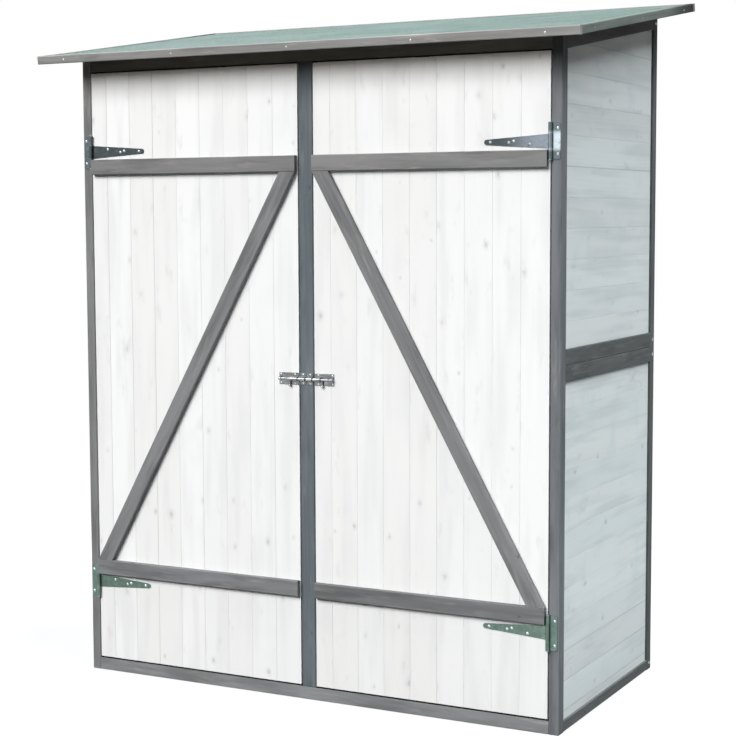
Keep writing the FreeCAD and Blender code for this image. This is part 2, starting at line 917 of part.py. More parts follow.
def roof_nails():
    """The nails of the four roof trims."""
    slope = Vector(0, math.cos(pitch), math.sin(pitch))
    level = roof_board_thickness / 2
    nails = []
    for place in nail_places(2 * roof_half_width):
        x = place - roof_half_width
        nails.append(roof_nail(roof_point(x, -trim_thickness, level), slope))
        nails.append(roof_nail(roof_point(x, deck_length + trim_thickness, level), -slope))
    for place in nail_places(deck_length):
        nails.append(roof_nail(roof_point(roof_half_width, place, level), -RIGHT))
        nails.append(roof_nail(roof_point(-roof_half_width, place, level), RIGHT))
    return nails


def roof():
    """Boards, felt, the four edge trims and the rafter under the middle."""
    slope = Vector(0, math.cos(pitch), math.sin(pitch))
    normal = Vector(0, -math.sin(pitch), math.cos(pitch))
    deck_half = roof_half_width - trim_thickness
    nails = roof_nails()
    boards = boarding(
        roof_point(-deck_half, 0, 0),
        slope,
        normal,
        RIGHT * (2 * deck_half),
        even_widths(deck_length, roof_board_pitch),
        roof_board_thickness,
    )
    low = -trim_drop
    high = trim_height - trim_drop
    full_length = deck_length + trim_thickness
    front_fascia = roof_block(-roof_half_width, roof_half_width, -trim_thickness, 0, low, high)
    back_fascia = roof_block(-roof_half_width, roof_half_width, deck_length, full_length, low, high)
    barge_board = roof_block(deck_half, roof_half_width, 0, deck_length, low, high)
    felt_top = roof_board_thickness + felt_thickness
    felt = roof_block(-deck_half, deck_half, 0, deck_length, roof_board_thickness, felt_top)
    right_barge_board = planed(barge_board, slope)
    rafter = side_prism(
        -rafter_width / 2,
        rafter_width / 2,
        [
            (front_inner, roof_underside(front_inner) - rafter_height),
            (back_inner, roof_underside(back_inner) - rafter_height),
            (back_inner, roof_underside(back_inner)),
            (front_inner, roof_underside(front_inner)),
        ],
    )
    return {
        "roof_boards": joined([drilled(board, nails) for board in boards]),
        "roof_felt": felt,
        "front_fascia": drilled(planed(front_fascia, RIGHT), nails),
        "back_fascia": drilled(planed(back_fascia, RIGHT), nails),
        "right_barge_board": drilled(right_barge_board, nails),
        "left_barge_board": drilled(mirrored(right_barge_board), nails),
        "roof_rafter": planed(rafter, slope),
        "roof_nails": joined(nails),
    }


# Floor and shelf


def floor():
    """Floor boards from front to back on the front rail and two bearers."""
    half = inner_half_width - floor_side_gap
    y0 = front + door_board_thickness + door_stop_gap
    boards = boarding(
        Vector(-half, y0, floor_top),
        RIGHT,
        -UP,
        BACK * (back_inner - y0),
        even_widths(2 * half, floor_board_pitch),
        floor_board_thickness,
    )
    post_half = centre_post_width / 2 + floor_post_gap
    post_space = box(-post_half, post_half, front, front_inner + floor_post_gap, 0, front_height)
    middle = (front_inner + back_inner) / 2
    bearer_half = floor_bearer_width / 2
    level = front_bottom_rail_height
    back_bearer_front = back_inner - floor_bearer_width
    middle_bearer = box(
        -inner_half_width, inner_half_width, middle - bearer_half, middle + bearer_half, 0, level
    )
    back_bearer = box(-inner_half_width, inner_half_width, back_bearer_front, back_inner, 0, level)
    return {
        "floor_boards": joined([board.cut(post_space) for board in boards]),
        "middle_floor_bearer": planed(middle_bearer, RIGHT),
        "back_floor_bearer": planed(back_bearer, RIGHT),
    }


def shelf():
    """Shelf boards from side to side on two cleats and a middle bearer."""
    half = inner_half_width - shelf_side_gap
    boards = boarding(
        Vector(-half, shelf_front, shelf_top),
        BACK,
        -UP,
        RIGHT * (2 * half),
        even_widths(shelf_depth, shelf_board_pitch),
        shelf_board_thickness,
    )
    low = shelf_underside - shelf_cleat_height
    cleat_left = inner_half_width - shelf_cleat_thickness
    cleat = planed(box(cleat_left, inner_half_width, shelf_front, shelf_back, low, shelf_underside), BACK)
    bearer_half = shelf_bearer_width / 2
    bearer = box(-bearer_half, bearer_half, front_inner, back_inner, low, shelf_underside)
    return {
        "shelf_boards": joined(boards),
        "right_shelf_cleat": cleat,
        "left_shelf_cleat": mirrored(cleat),
        "middle_shelf_bearer": planed(bearer, BACK),
    }


def walls():
    """Posts, rails, framed side and back panels, and the fixings that stay on the body."""
    grooves = wall_grooves()
    both_grooves = grooves + [mirrored(groove) for groove in grooves]
    screws = panel_screws()
    both_screws = screws + [mirrored(screw) for screw in screws]
    hinge_levels = {"upper": upper_hinge_z, "lower": lower_hinge_z}
    body_screws = [bolt_screw(x, z) for x, z in keep_screw_centres()]
    for z in hinge_levels.values():
        body_screws += [hinge_screw(x, centre_z) for x, centre_z in plate_screw_centres(z)]
    right_post = front_post(grooves, body_screws)
    right_lower, right_upper = side_frames(grooves, screws)
    back_lower, back_upper = back_frames(both_grooves, both_screws)
    lower_boards = side_boards(lower_side_groove_bottom, lower_groove_top)
    upper_boards = side_boards(upper_groove_bottom, upper_groove_top)
    back_lower_right = back_boards(back_lower_groove_bottom, seam_groove_top)
    back_upper_right = back_boards(upper_groove_bottom, back_upper_groove_top)
    pins = [hinge_pin(z) for z in hinge_levels.values()]
    pieces = {
        "front_top_rail": front_top_rail(),
        "front_bottom_rail": front_bottom_rail(),
        "centre_post": centre_post(body_screws + [mirrored(screw) for screw in body_screws]),
        "right_front_post": right_post,
        "left_front_post": mirrored(right_post),
        "back_lower_frame": joined(back_lower),
        "back_upper_frame": joined(back_upper),
        "back_lower_boards": joined(back_lower_right + [mirrored(board) for board in back_lower_right]),
        "back_upper_boards": joined(back_upper_right + [mirrored(board) for board in back_upper_right]),
        "hinge_pins": joined(pins + [mirrored(pin) for pin in pins]),
        "body_screws": joined(body_screws + [mirrored(screw) for screw in body_screws]),
        "panel_screws": joined(both_screws),
        "right_bolt_keep": bolt_keep(),
        "left_bolt_keep": mirrored(bolt_keep()),
    }
    sides = {
        "lower_side_frame": right_lower,
        "upper_side_frame": right_upper,
        "lower_side_boards": lower_boards,
        "upper_side_boards": upper_boards,
    }
    for name, solids in sides.items():
        pieces["right_" + name] = joined(solids)
        pieces["left_" + name] = joined([mirrored(solid) for solid in solids])
    for level, z in hinge_levels.items():
        plate = hinge_plate(z)
        pieces["right_" + level + "_hinge_plate"] = plate
        pieces["left_" + level + "_hinge_plate"] = mirrored(plate)
    return pieces


def doors():
    """Both doors, the left one as the right one mirrored with its straps turned over."""
    pieces = {}
    for name, piece in door(1).items():
        pieces["right_" + name] = piece
    for name, piece in door(-1).items():
        pieces["left_" + name] = mirrored(piece)
    return pieces


def main():
    """Builds every piece and writes one file for each."""
    os.makedirs("parts", exist_ok=True)
    pieces = {}
    for group in (walls, doors, roof, floor, shelf):
        pieces.update(group())
    for name, shape in pieces.items():
        shape.exportStep("parts/" + name + ".step")


main()
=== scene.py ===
"""Finishes, screws, studio and camera for a garden storage cabinet.

The cabinet has two ledged and braced doors, framed side and back panels, and a pent roof under
green felt. Its pieces come packed and stay where they are. Here each one gets its finish, and the
screws get their cross recesses. Everything is in metres, with Z up and the doors facing -Y.
"""

import logging
import math
import random
from dataclasses import dataclass
from enum import Enum
from typing import Iterable, Optional, Sequence, Union

import bmesh
import bpy
from mathutils import Matrix, Quaternion, Vector


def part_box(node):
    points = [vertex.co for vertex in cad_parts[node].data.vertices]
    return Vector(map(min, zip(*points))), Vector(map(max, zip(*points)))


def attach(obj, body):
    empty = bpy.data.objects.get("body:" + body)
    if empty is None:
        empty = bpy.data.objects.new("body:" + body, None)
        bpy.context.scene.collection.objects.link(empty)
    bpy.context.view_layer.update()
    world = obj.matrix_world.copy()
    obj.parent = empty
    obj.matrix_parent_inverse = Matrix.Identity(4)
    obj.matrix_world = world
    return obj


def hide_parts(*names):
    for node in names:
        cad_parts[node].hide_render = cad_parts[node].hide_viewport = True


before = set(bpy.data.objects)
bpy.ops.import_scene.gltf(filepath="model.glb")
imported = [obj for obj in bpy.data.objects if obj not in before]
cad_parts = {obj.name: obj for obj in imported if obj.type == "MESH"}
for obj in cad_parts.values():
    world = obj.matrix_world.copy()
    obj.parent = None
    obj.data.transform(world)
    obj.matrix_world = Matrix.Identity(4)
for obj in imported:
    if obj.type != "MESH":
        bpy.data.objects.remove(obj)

logging.basicConfig(level=logging.INFO, format="%(message)s")
LOG = logging.getLogger("storage_cabinet")

Colour = tuple[float, float, float]
Number3 = tuple[float, float, float]
Node = bpy.types.Node
Socket = bpy.types.NodeSocket
Sockets = dict[str, bpy.types.NodeSocket]
Feed = Union[float, Sequence[float], bpy.types.NodeSocket, None]

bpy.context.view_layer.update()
IMAGE_SIDE: int = 736
SENSOR_WIDTH: float = 36.0
FAR: float = 9.0


class Slot(Enum):
    """The record's material slots."""

    GREY = "grey_stained_timber"
    WHITE = "white_washed_boards"
    FIR = "bare_fir"
    FELT = "green_roofing_felt"
    ZINC = "zinc_plated_steel"


class Plug(Enum):
    """The kinds of socket that an effect group has."""

    NUMBER = "NodeSocketFloat"
    VECTOR = "NodeSocketVector"


class Hand(Enum):
    """The cabinet's two sides, seen from the front."""

    RIGHT = "right"
    LEFT = "left"


class Level(Enum):
    """The two heights of what comes in pairs, one above the other."""

    LOWER = "lower"
    UPPER = "upper"


class Direction(Enum):
    """The cabinet's own directions."""

    SIDEWAYS = (1.0, 0.0, 0.0)
    BACKWARDS = (0.0, 1.0, 0.0)
    UPWARDS = (0.0, 0.0, 1.0)


# Directions, the places that finishes measure from, and the width of the wall and door boards
SIDE: Number3 = Direction.SIDEWAYS.value
BACK: Number3 = Direction.BACKWARDS.value
UP: Number3 = Direction.UPWARDS.value
# ROOF_NORMAL, FRONT_TOP, ROOF_FRONT_EDGE, SILL_TOP and the hinge places also set where the painted shade and
# reflection fades lie
ROOF_NORMAL: Number3 = (0.0, -0.159, 0.987)
FRONT_TOP: Number3 = (0.0, -0.3035, 1.472)
ROOF_FRONT_EDGE: Number3 = (0.0, -0.386, 0.0)
SILL_TOP: Number3 = (0.0, 0.0, 0.030)
UPPER_HINGE: Number3 = (0.0, 0.0, 1.254)
RIGHT_HINGE_LINE: Number3 = (0.583, 0.0, 0.0)
BOARD_WIDTH: float = 0.065


# Node trees


def by_name(sockets: Iterable[Socket]) -> Sockets:
    """Sockets under their names."""
    return {socket.name: socket for socket in sockets}


class Wiring:
    """Adds nodes to one shader tree and joins them."""

    def __init__(self, tree: bpy.types.NodeTree) -> None:
        """Starts on a tree.

        Args:
            tree: the material's or the group's node tree.
        """
        self.tree = tree

    def node(self, kind: str, *values: Feed, **settings: object) -> Node:
        """Adds a node.

        Args:
            kind: the node's type name.
            values: what its inputs get, in order.
            settings: properties to set on it.

        Returns:
            The new node.
        """
        made = self.tree.nodes.new(kind)
        row, column = divmod(len(self.tree.nodes), 12)
        made.location = (180.0 * column, -220.0 * row)
        for name, value in settings.items():
            setattr(made, name, value)
        for socket, value in zip(made.inputs, values):
            self.feed(socket, value)
        return made

    def feed(self, socket: Socket, value: Feed) -> None:
        """Gives a socket a plain value or joins another socket to it.

        Args:
            socket: the input that gets it.
            value: a number, a colour, a vector or another node's output.
        """
        if isinstance(value, bpy.types.NodeSocket):
            self.tree.links.new(value, socket)
        elif value is not None:
            if socket.type == "RGBA" and len(value) == 3:
                value = (*value, 1.0)
            socket.default_value = value

    def math(self, operation: str, *values: Feed) -> Socket:
        """The result of a Math node's operation on plain numbers."""
        return self.node("ShaderNodeMath", *values, operation=operation).outputs[0]

    def vector(self, operation: str, *values: Feed) -> Socket:
        """A sum on vectors.

        Args:
            operation: the Vector Math node's operation.
            values: its inputs in order.

        Returns:
            The result, a number for a dot product or a length and otherwise a vector.
        """
        made = self.node("ShaderNodeVectorMath", *values, operation=operation)
        return made.outputs["Value" if operation in ("DOT_PRODUCT", "LENGTH") else "Vector"]

    def parts(self, vector: Feed) -> tuple[Socket, ...]:
        """The three numbers of a vector."""
        return tuple(self.node("ShaderNodeSeparateXYZ", vector).outputs)

    def together(self, *values: Feed) -> Socket:
        """A vector from three numbers."""
        return self.node("ShaderNodeCombineXYZ", *values).outputs[0]

    def mixed(self, share: Feed, first: Feed, second: Feed) -> Socket:
        """One colour over another.

        Args:
            share: how much of the second colour shows.
            first: the colour under it.
            second: the colour over it.

        Returns:
            The mixed colour.
        """
        made = self.node("ShaderNodeMix", data_type="RGBA", clamp_factor=True)
        for place, value in ((0, share), (6, first), (7, second)):
            self.feed(made.inputs[place], value)
        return made.outputs[2]

    def either(self, share: Feed, first: Feed, second: Feed) -> Socket:
        """One vector or another.

        Args:
            share: 0 for the first and 1 for the second.
            first: the vector at 0.
            second: the vector at 1.

        Returns:
            The vector.
        """
        made = self.node("ShaderNodeMix", data_type="VECTOR", clamp_factor=True)
        for place, value in ((0, share), (4, first), (5, second)):
            self.feed(made.inputs[place], value)
        return made.outputs[1]

    def ranged(self, value: Feed, low: Feed, high: Feed, to_low: Feed, to_high: Feed) -> Socket:
        """A value moved smoothly from one range to another and held at its ends.

        Args:
            value: what is moved.
            low: where the first range starts.
            high: where the first range ends.
            to_low: the result at its start.
            to_high: the result at its end.

        Returns:
            The moved value.
        """
        ends = (value, low, high, to_low, to_high)
        made = self.node("ShaderNodeMapRange", *ends, interpolation_type="SMOOTHSTEP", clamp=True)
        return made.outputs[0]

    def here(self) -> Socket:
        """The place on the piece, in metres."""
        return self.node("ShaderNodeTexCoord").outputs["Object"]


@dataclass(frozen=True)
class Noise:
    """Soft noise: its cells to the metre each way, how many finer layers, and how strong they are."""

    cells: Number3
    detail: float
    roughness: float = 0.5

    def at(self, wiring: Wiring, place: Feed) -> Socket:
        """Puts the noise into a tree.

        Args:
            wiring: the tree.
            place: where it is read, in metres.

        Returns:
            The noise, from about 0 to 1.
        """
        made = wiring.node("ShaderNodeTexNoise", noise_dimensions="3D")
        settings = {
            "Vector": wiring.vector("MULTIPLY", place, self.cells),
            "Scale": 1.0,
            "Detail": self.detail,
            "Roughness": self.roughness,
        }
        for name, value in settings.items():
            wiring.feed(made.inputs[name], value)
        return made.outputs[0]


@dataclass(frozen=True)
class Ramp:
    """A smooth change from one value to another, as a pattern goes from a start to an end."""

    start: float
    end: float
    first: float = 0.0
    last: float = 1.0

    def of(self, wiring: Wiring, pattern: Feed) -> Socket:
        """The value for a pattern."""
        return wiring.ranged(pattern, self.start, self.end, self.first, self.last)


@dataclass(frozen=True)
class Line:
    """A plain change: a pattern times a factor, and then more by a step."""

    factor: float
    step: float

    def of(self, wiring: Wiring, pattern: Feed) -> Socket:
        """The value for a pattern."""
        return wiring.math("MULTIPLY_ADD", pattern, self.factor, self.step)


@dataclass(frozen=True)
class Terminal:
    """One named input or output of an effect group."""

    name: str
    kind: Plug
    value: Feed = None


class Effect:
    """A shader node group that is built once and placed in each material with its own values."""

    title: str = ""
    inputs: tuple[Terminal, ...] = ()
    outputs: tuple[Terminal, ...] = ()

    @classmethod
    def wire(cls, wiring: Wiring, given: Sockets) -> tuple[Socket, ...]:
        """Joins up the inside of the group.

        Args:
            wiring: the group's tree.
            given: the group's inputs by name.

        Returns:
            What the group's outputs get, in order.
        """
        raise NotImplementedError

    @classmethod
    def tree(cls) -> bpy.types.NodeTree:
        """Finds the group's tree, and builds it the first time it is asked for.

        Returns:
            The tree.
        """
        found = bpy.data.node_groups.get(cls.title)
        if found is not None:
            return found
        tree = bpy.data.node_groups.new(cls.title, "ShaderNodeTree")
        for terminals, side in ((cls.inputs, "INPUT"), (cls.outputs, "OUTPUT")):
            for terminal in terminals:
                socket = tree.interface.new_socket(
                    name=terminal.name, in_out=side, socket_type=terminal.kind.value
                )
                if terminal.value is not None:
                    socket.default_value = terminal.value
        wiring = Wiring(tree)
        given = by_name(wiring.node("NodeGroupInput").outputs)
        made = wiring.node("NodeGroupOutput")
        for terminal, result in zip(cls.outputs, cls.wire(wiring, given)):
            wiring.feed(made.inputs[terminal.name], result)
        return tree

    @classmethod
    def place(cls, wiring: Wiring, values: dict[str, Feed]) -> Sockets:
        """Puts the group into a tree.

        Args:
            wiring: the tree that it goes into.
            values: what each named input gets.

        Returns:
            The group's outputs by name.
        """
        made = wiring.node("ShaderNodeGroup", node_tree=cls.tree())
        for name, value in values.items():
            wiring.feed(made.inputs[name], value)
        return by_name(made.outputs)


class CrossPiece(Effect):
    """Turns the grain of the pieces that stand across the others in one framed panel."""

    title = "cross_piece"
    inputs = (
        Terminal("Position", Plug.VECTOR),
        Terminal("Low Corner", Plug.VECTOR, (-FAR, -FAR, -FAR)),
        Terminal("High Corner", Plug.VECTOR, (-FAR, -FAR, -FAR)),
        Terminal("Mirror", Plug.VECTOR, (0.0, 0.0, 1.0)),
    )
    outputs = (Terminal("Turned", Plug.VECTOR),)

    @classmethod
    def wire(cls, wiring: Wiring, given: Sockets) -> tuple[Socket, ...]:
        """Swaps two directions inside a box.

        Args:
            wiring: the group's tree.
            given: the group's inputs by name.

        Returns:
            The place, turned inside the box.
        """
        place = given["Position"]
        low = wiring.parts(wiring.vector("SUBTRACT", place, given["Low Corner"]))
        high = wiring.parts(wiring.vector("SUBTRACT", given["High Corner"], place))
        inside: Feed = 1.0
        for margin in (*low, *high):
            inside = wiring.math("MULTIPLY", inside, wiring.math("GREATER_THAN", margin, 0.0))
        turned = wiring.vector("REFLECT", place, given["Mirror"])
        return (wiring.either(inside, place, turned),)


class BoardLie(Effect):
    """Lays the grain along each board of a run, with every board cut from its own log."""

    title = "board_lie"
    inputs = (
        Terminal("Position", Plug.VECTOR),
        Terminal("Along", Plug.VECTOR, (0.0, 0.0, 1.0)),
        Terminal("Across", Plug.VECTOR, (1.0, 0.0, 0.0)),
        Terminal("Start", Plug.NUMBER, 0.0),
        Terminal("Pitch", Plug.NUMBER, 1.0),
        Terminal("Face", Plug.NUMBER, 0.0),
        Terminal("Seed", Plug.NUMBER, 0.0),
    )
    outputs = (
        Terminal("Lie", Plug.VECTOR),
        Terminal("Tone", Plug.NUMBER),
        Terminal("Tint", Plug.NUMBER),
        Terminal("Joint", Plug.NUMBER),
    )
    log_length: float = 9.0
    heart_spread: float = 0.06
    heart_least_depth: float = 0.022
    heart_range: float = 0.09
    dice_layer: float = 3.7
    joint: Ramp = Ramp(0.00064, 0.0016, 1.0, 0.0)
    joint_rareness: float = 4.0

    @classmethod
    def wire(cls, wiring: Wiring, given: Sockets) -> tuple[Socket, ...]:
        """Finds the board, then the place in its log.

        Args:
            wiring: the group's tree.
            given: the group's inputs by name.

        Returns:
            The place in the log, the board's tone and tint, and how open its nearest joint is.
        """
        place, along, across, pitch = (given[name] for name in ("Position", "Along", "Across", "Pitch"))
        deep = wiring.vector("DOT_PRODUCT", place, wiring.vector("CROSS_PRODUCT", along, across))
        level = wiring.math("SUBTRACT", wiring.vector("DOT_PRODUCT", place, across), given["Start"])
        level = wiring.math("DIVIDE", level, pitch)
        board = wiring.math("FLOOR", level)
        off_middle = wiring.math("SUBTRACT", wiring.math("SUBTRACT", level, board), 0.5)
        dice = wiring.node("ShaderNodeTexWhiteNoise", noise_dimensions="3D")
        wiring.feed(dice.inputs["Vector"], wiring.together(board, given["Seed"], cls.dice_layer))
        red, green, blue = wiring.parts(dice.outputs["Color"])
        run = wiring.vector("DOT_PRODUCT", place, along)
        run = wiring.math("MULTIPLY_ADD", red, cls.log_length, run)
        heart = wiring.math("SUBTRACT", green, 0.5)
        aside = wiring.math("MULTIPLY", off_middle, pitch)
        aside = wiring.math("MULTIPLY_ADD", heart, cls.heart_spread, aside)
        depth = wiring.math("ADD", wiring.math("SUBTRACT", deep, given["Face"]), cls.heart_least_depth)
        depth = wiring.math("MULTIPLY_ADD", blue, cls.heart_range, depth)
        off_joint = wiring.math("SUBTRACT", 0.5, wiring.math("ABSOLUTE", off_middle))
        off_joint = wiring.math("MULTIPLY", off_joint, pitch)
        chance = wiring.node("ShaderNodeTexWhiteNoise", noise_dimensions="2D")
        nearest = wiring.together(wiring.math("ROUND", level), given["Seed"], 0.0)
        wiring.feed(chance.inputs["Vector"], nearest)
        opening = wiring.math("POWER", chance.outputs["Value"], cls.joint_rareness)
        joint = wiring.math("MULTIPLY", cls.joint.of(wiring, off_joint), opening)
        return wiring.together(run, aside, depth), dice.outputs["Value"], red, joint


class WoodFigure(Effect):
    """Growth rings, fibres and knots of a softwood board."""

    title = "wood_figure"
    inputs = (
        Terminal("Lie", Plug.VECTOR),
        Terminal("Ring Width", Plug.NUMBER, 0.0045),
        Terminal("Wander", Plug.NUMBER, 0.016),
        Terminal("Knot Share", Plug.NUMBER, 0.2),
        Terminal("Knot Size", Plug.NUMBER, 0.06),
    )
    outputs = (
        Terminal("Rings", Plug.NUMBER),
        Terminal("Fibre", Plug.NUMBER),
        Terminal("Knot", Plug.NUMBER),
        Terminal("Rim", Plug.NUMBER),
        Terminal("Height", Plug.NUMBER),
    )
    knot_cells: Number3 = (9.0, 13.0, 0.0)
    knot_strength: Line = Line(0.75, 0.25)
    knot_radius: Line = Line(0.9, 0.5)
    knot_edge: Noise = Noise((90.0, 210.0, 210.0), 2.0)
    knot_raggedness: Line = Line(0.10, -0.05)
    slow: Noise = Noise((1.3, 7.0, 7.0), 2.0)
    quick: Noise = Noise((11.0, 70.0, 70.0), 1.0)
    fibre: Noise = Noise((12.0, 330.0, 330.0), 2.0, 0.6)
    year: Line = Line(0.6, 0.4)
    quick_wander: float = 0.0014
    knot_push: float = 0.007
    knot_push_reach: float = 4.0
    knot_core: float = 0.25
    knot_rim: float = 0.9
    late_wood: float = 2.6
    late_height: float = 0.35
    fibre_height: float = 0.5
    knot_height: float = -0.4

    @classmethod
    def knots(cls, wiring: Wiring, given: Sockets) -> tuple[Socket, ...]:
        """Scatters knots.

        Args:
            wiring: the group's tree.
            given: the group's inputs by name.

        Returns:
            The knots' cores, their rims, and how far they push the rings aside.
        """
        cells = wiring.node("ShaderNodeTexVoronoi", voronoi_dimensions="2D", feature="F1")
        wiring.feed(cells.inputs["Vector"], wiring.vector("MULTIPLY", given["Lie"], cls.knot_cells))
        cells.inputs["Scale"].default_value = 1.0
        red, green, blue = wiring.parts(cells.outputs["Color"])
        there = wiring.math("LESS_THAN", red, given["Knot Share"])
        there = wiring.math("MULTIPLY", there, cls.knot_strength.of(wiring, blue))
        ragged = cls.knot_raggedness.of(wiring, cls.knot_edge.at(wiring, given["Lie"]))
        away = wiring.math("ADD", cells.outputs["Distance"], ragged)
        radius = wiring.math("MULTIPLY", given["Knot Size"], cls.knot_radius.of(wiring, green))
        core = wiring.ranged(away, wiring.math("MULTIPLY", radius, cls.knot_core), radius, 1.0, 0.0)
        off_rim = wiring.math("ABSOLUTE", wiring.math("SUBTRACT", away, radius))
        rim = wiring.ranged(off_rim, 0.0, wiring.math("MULTIPLY", radius, cls.knot_rim), 1.0, 0.0)
        reach = wiring.math("MULTIPLY", radius, cls.knot_push_reach)
        push = wiring.ranged(away, radius, reach, 1.0, 0.0)
        return tuple(wiring.math("MULTIPLY", there, item) for item in (core, rim, push))

    @classmethod
    def wire(cls, wiring: Wiring, given: Sockets) -> tuple[Socket, ...]:
        """Draws the rings round the heart of the log and bends them round the knots.

        Args:
            wiring: the group's tree.
            given: the group's inputs by name.

        Returns:
            The rings, the fibres, the knots' cores and rims, and the height of the grain.
        """
        lie = given["Lie"]
        core, rim, push = cls.knots(wiring, given)
        _, across, deep = wiring.parts(lie)
        reach = wiring.vector("LENGTH", wiring.together(0.0, across, deep))
        slow = wiring.math("SUBTRACT", cls.slow.at(wiring, lie), 0.5)
        quick = cls.quick.at(wiring, lie)
        for pattern, strength in (
            (slow, given["Wander"]),
            (quick, cls.quick_wander),
            (push, cls.knot_push),
        ):
            reach = wiring.math("MULTIPLY_ADD", pattern, strength, reach)
        count = wiring.math("DIVIDE", reach, given["Ring Width"])
        ring = wiring.math("FLOOR", count)
        year = wiring.node("ShaderNodeTexWhiteNoise", noise_dimensions="1D")
        wiring.feed(year.inputs["W"], ring)
        strength = cls.year.of(wiring, year.outputs["Value"])
        late = wiring.math("POWER", wiring.math("SUBTRACT", count, ring), cls.late_wood)
        late = wiring.math("MULTIPLY", late, strength)
        fibre = cls.fibre.at(wiring, lie)
        height = wiring.math("MULTIPLY", fibre, cls.fibre_height)
        height = wiring.math("MULTIPLY_ADD", late, cls.late_height, height)
        height = wiring.math("MULTIPLY_ADD", core, cls.knot_height, height)
        return late, fibre, core, rim, height


class EdgeWear(Effect):
    """Where a sharp edge has lost some of its colour."""

    title = "edge_wear"
    inputs = (
        Terminal("Position", Plug.VECTOR),
        Terminal("Radius", Plug.NUMBER, 0.0015),
        Terminal("Amount", Plug.NUMBER, 0.5),
    )
    outputs = (Terminal("Wear", Plug.NUMBER),)
    edge: Ramp = Ramp(0.78, 0.995, 1.0, 0.0)
    patch: Noise = Noise((38.0, 38.0, 38.0), 3.0, 0.6)
    patchiness: Ramp = Ramp(0.42, 0.68, 0.15, 1.0)

    @classmethod
    def wire(cls, wiring: Wiring, given: Sockets) -> tuple[Socket, ...]:
        """Compares the rounded and the true surface.

        Args:
            wiring: the group's tree.
            given: the group's inputs by name.

        Returns:
            The wear.
        """
        rounded = wiring.node("ShaderNodeBevel", given["Radius"], samples=3)
        surface = wiring.node("ShaderNodeNewGeometry")
        facing = wiring.vector("DOT_PRODUCT", rounded.outputs[0], surface.outputs["Normal"])
        patches = cls.patchiness.of(wiring, cls.patch.at(wiring, given["Position"]))
        worn = wiring.math("MULTIPLY", cls.edge.of(wiring, facing), patches)
        return (wiring.math("MULTIPLY", worn, given["Amount"]),)


class SettledDust(Effect):
    """Dust and rain marks on whatever faces up."""

    title = "settled_dust"
    inputs = (
        Terminal("Position", Plug.VECTOR),
        Terminal("Amount", Plug.NUMBER, 0.3),
    )
    outputs = (Terminal("Dust", Plug.NUMBER),)
    level: Ramp = Ramp(0.5, 0.95)
    cloud: Noise = Noise((9.0, 9.0, 9.0), 5.0, 0.65)
    cloudiness: Ramp = Ramp(0.35, 0.7, 0.2, 1.0)
    speck: Noise = Noise((300.0, 300.0, 300.0), 1.0)

    @classmethod
    def wire(cls, wiring: Wiring, given: Sockets) -> tuple[Socket, ...]:
        """Keeps the dust to level faces and breaks it up.

        Args:
            wiring: the group's tree.
            given: the group's inputs by name.

        Returns:
            The dust.
        """
        surface = wiring.node("ShaderNodeNewGeometry")
        _, _, up = wiring.parts(surface.outputs["Normal"])
        dust = cls.cloudiness.of(wiring, cls.cloud.at(wiring, given["Position"]))
        speck = cls.speck.at(wiring, given["Position"])
        for factor in (speck, cls.level.of(wiring, up), given["Amount"]):
            dust = wiring.math("MULTIPLY", dust, factor)
        return (dust,)


class MineralGrit(Effect):
    """Crushed mineral pressed into roofing felt."""

    title = "mineral_grit"
    inputs = (
        Terminal("Position", Plug.VECTOR),
        Terminal("Grains To The Metre", Plug.NUMBER, 620.0),
    )
    outputs = (
        Terminal("Fleck", Plug.NUMBER),
        Terminal("Cloud", Plug.NUMBER),
        Terminal("Streak", Plug.NUMBER),
        Terminal("Height", Plug.NUMBER),
    )
    cloud: Noise = Noise((5.0, 5.0, 5.0), 4.0, 0.6)
    streak: Noise = Noise((26.0, 3.0, 3.0), 3.0, 0.6)
    grain: Ramp = Ramp(0.0, 0.55, 1.0, 0.0)
    grain_height: Line = Line(0.7, 0.3)

    @classmethod
    def wire(cls, wiring: Wiring, given: Sockets) -> tuple[Socket, ...]:
        """Scatters the grains and clouds their colour.

        Args:
            wiring: the group's tree.
            given: the group's inputs by name.

        Returns:
            Each grain's fleck, the clouds, the streaks, and the height of the grains.
        """
        place = given["Position"]
        cells = wiring.node("ShaderNodeTexVoronoi", voronoi_dimensions="3D", feature="F1")
        wiring.feed(cells.inputs["Vector"], place)
        wiring.feed(cells.inputs["Scale"], given["Grains To The Metre"])
        red, _, _ = wiring.parts(cells.outputs["Color"])
        bump = cls.grain.of(wiring, cells.outputs["Distance"])
        height = wiring.math("MULTIPLY", bump, cls.grain_height.of(wiring, red))
        return red, cls.cloud.at(wiring, place), cls.streak.at(wiring, place), height


class PlatedSkin(Effect):
    """Zinc plating: soft clouds, fine rolling lines and dull spots."""

    title = "plated_skin"
    inputs = (Terminal("Position", Plug.VECTOR),)
    outputs = (
        Terminal("Cloud", Plug.NUMBER),
        Terminal("Line", Plug.NUMBER),
        Terminal("Spot", Plug.NUMBER),
        Terminal("Height", Plug.NUMBER),
    )
    cloud: Noise = Noise((55.0, 55.0, 55.0), 4.0, 0.6)
    line: Noise = Noise((60.0, 900.0, 900.0), 2.0, 0.6)
    spot: Noise = Noise((210.0, 210.0, 210.0), 2.0)
    spot_edge: Ramp = Ramp(0.62, 0.74)
    cloud_height: float = 0.6
    line_height: float = 0.4

    @classmethod
    def wire(cls, wiring: Wiring, given: Sockets) -> tuple[Socket, ...]:
        """Layers three sizes of noise.

        Args:
            wiring: the group's tree.
            given: the group's inputs by name.

        Returns:
            The clouds, the lines, the spots, and the height of the skin.
        """
        place = given["Position"]
        cloud, line = cls.cloud.at(wiring, place), cls.line.at(wiring, place)
        spot = cls.spot_edge.of(wiring, cls.spot.at(wiring, place))
        height = wiring.math("MULTIPLY", cloud, cls.cloud_height)
        height = wiring.math("MULTIPLY_ADD", line, cls.line_height, height)
        return cloud, line, spot, height


# How the timber of a node lies


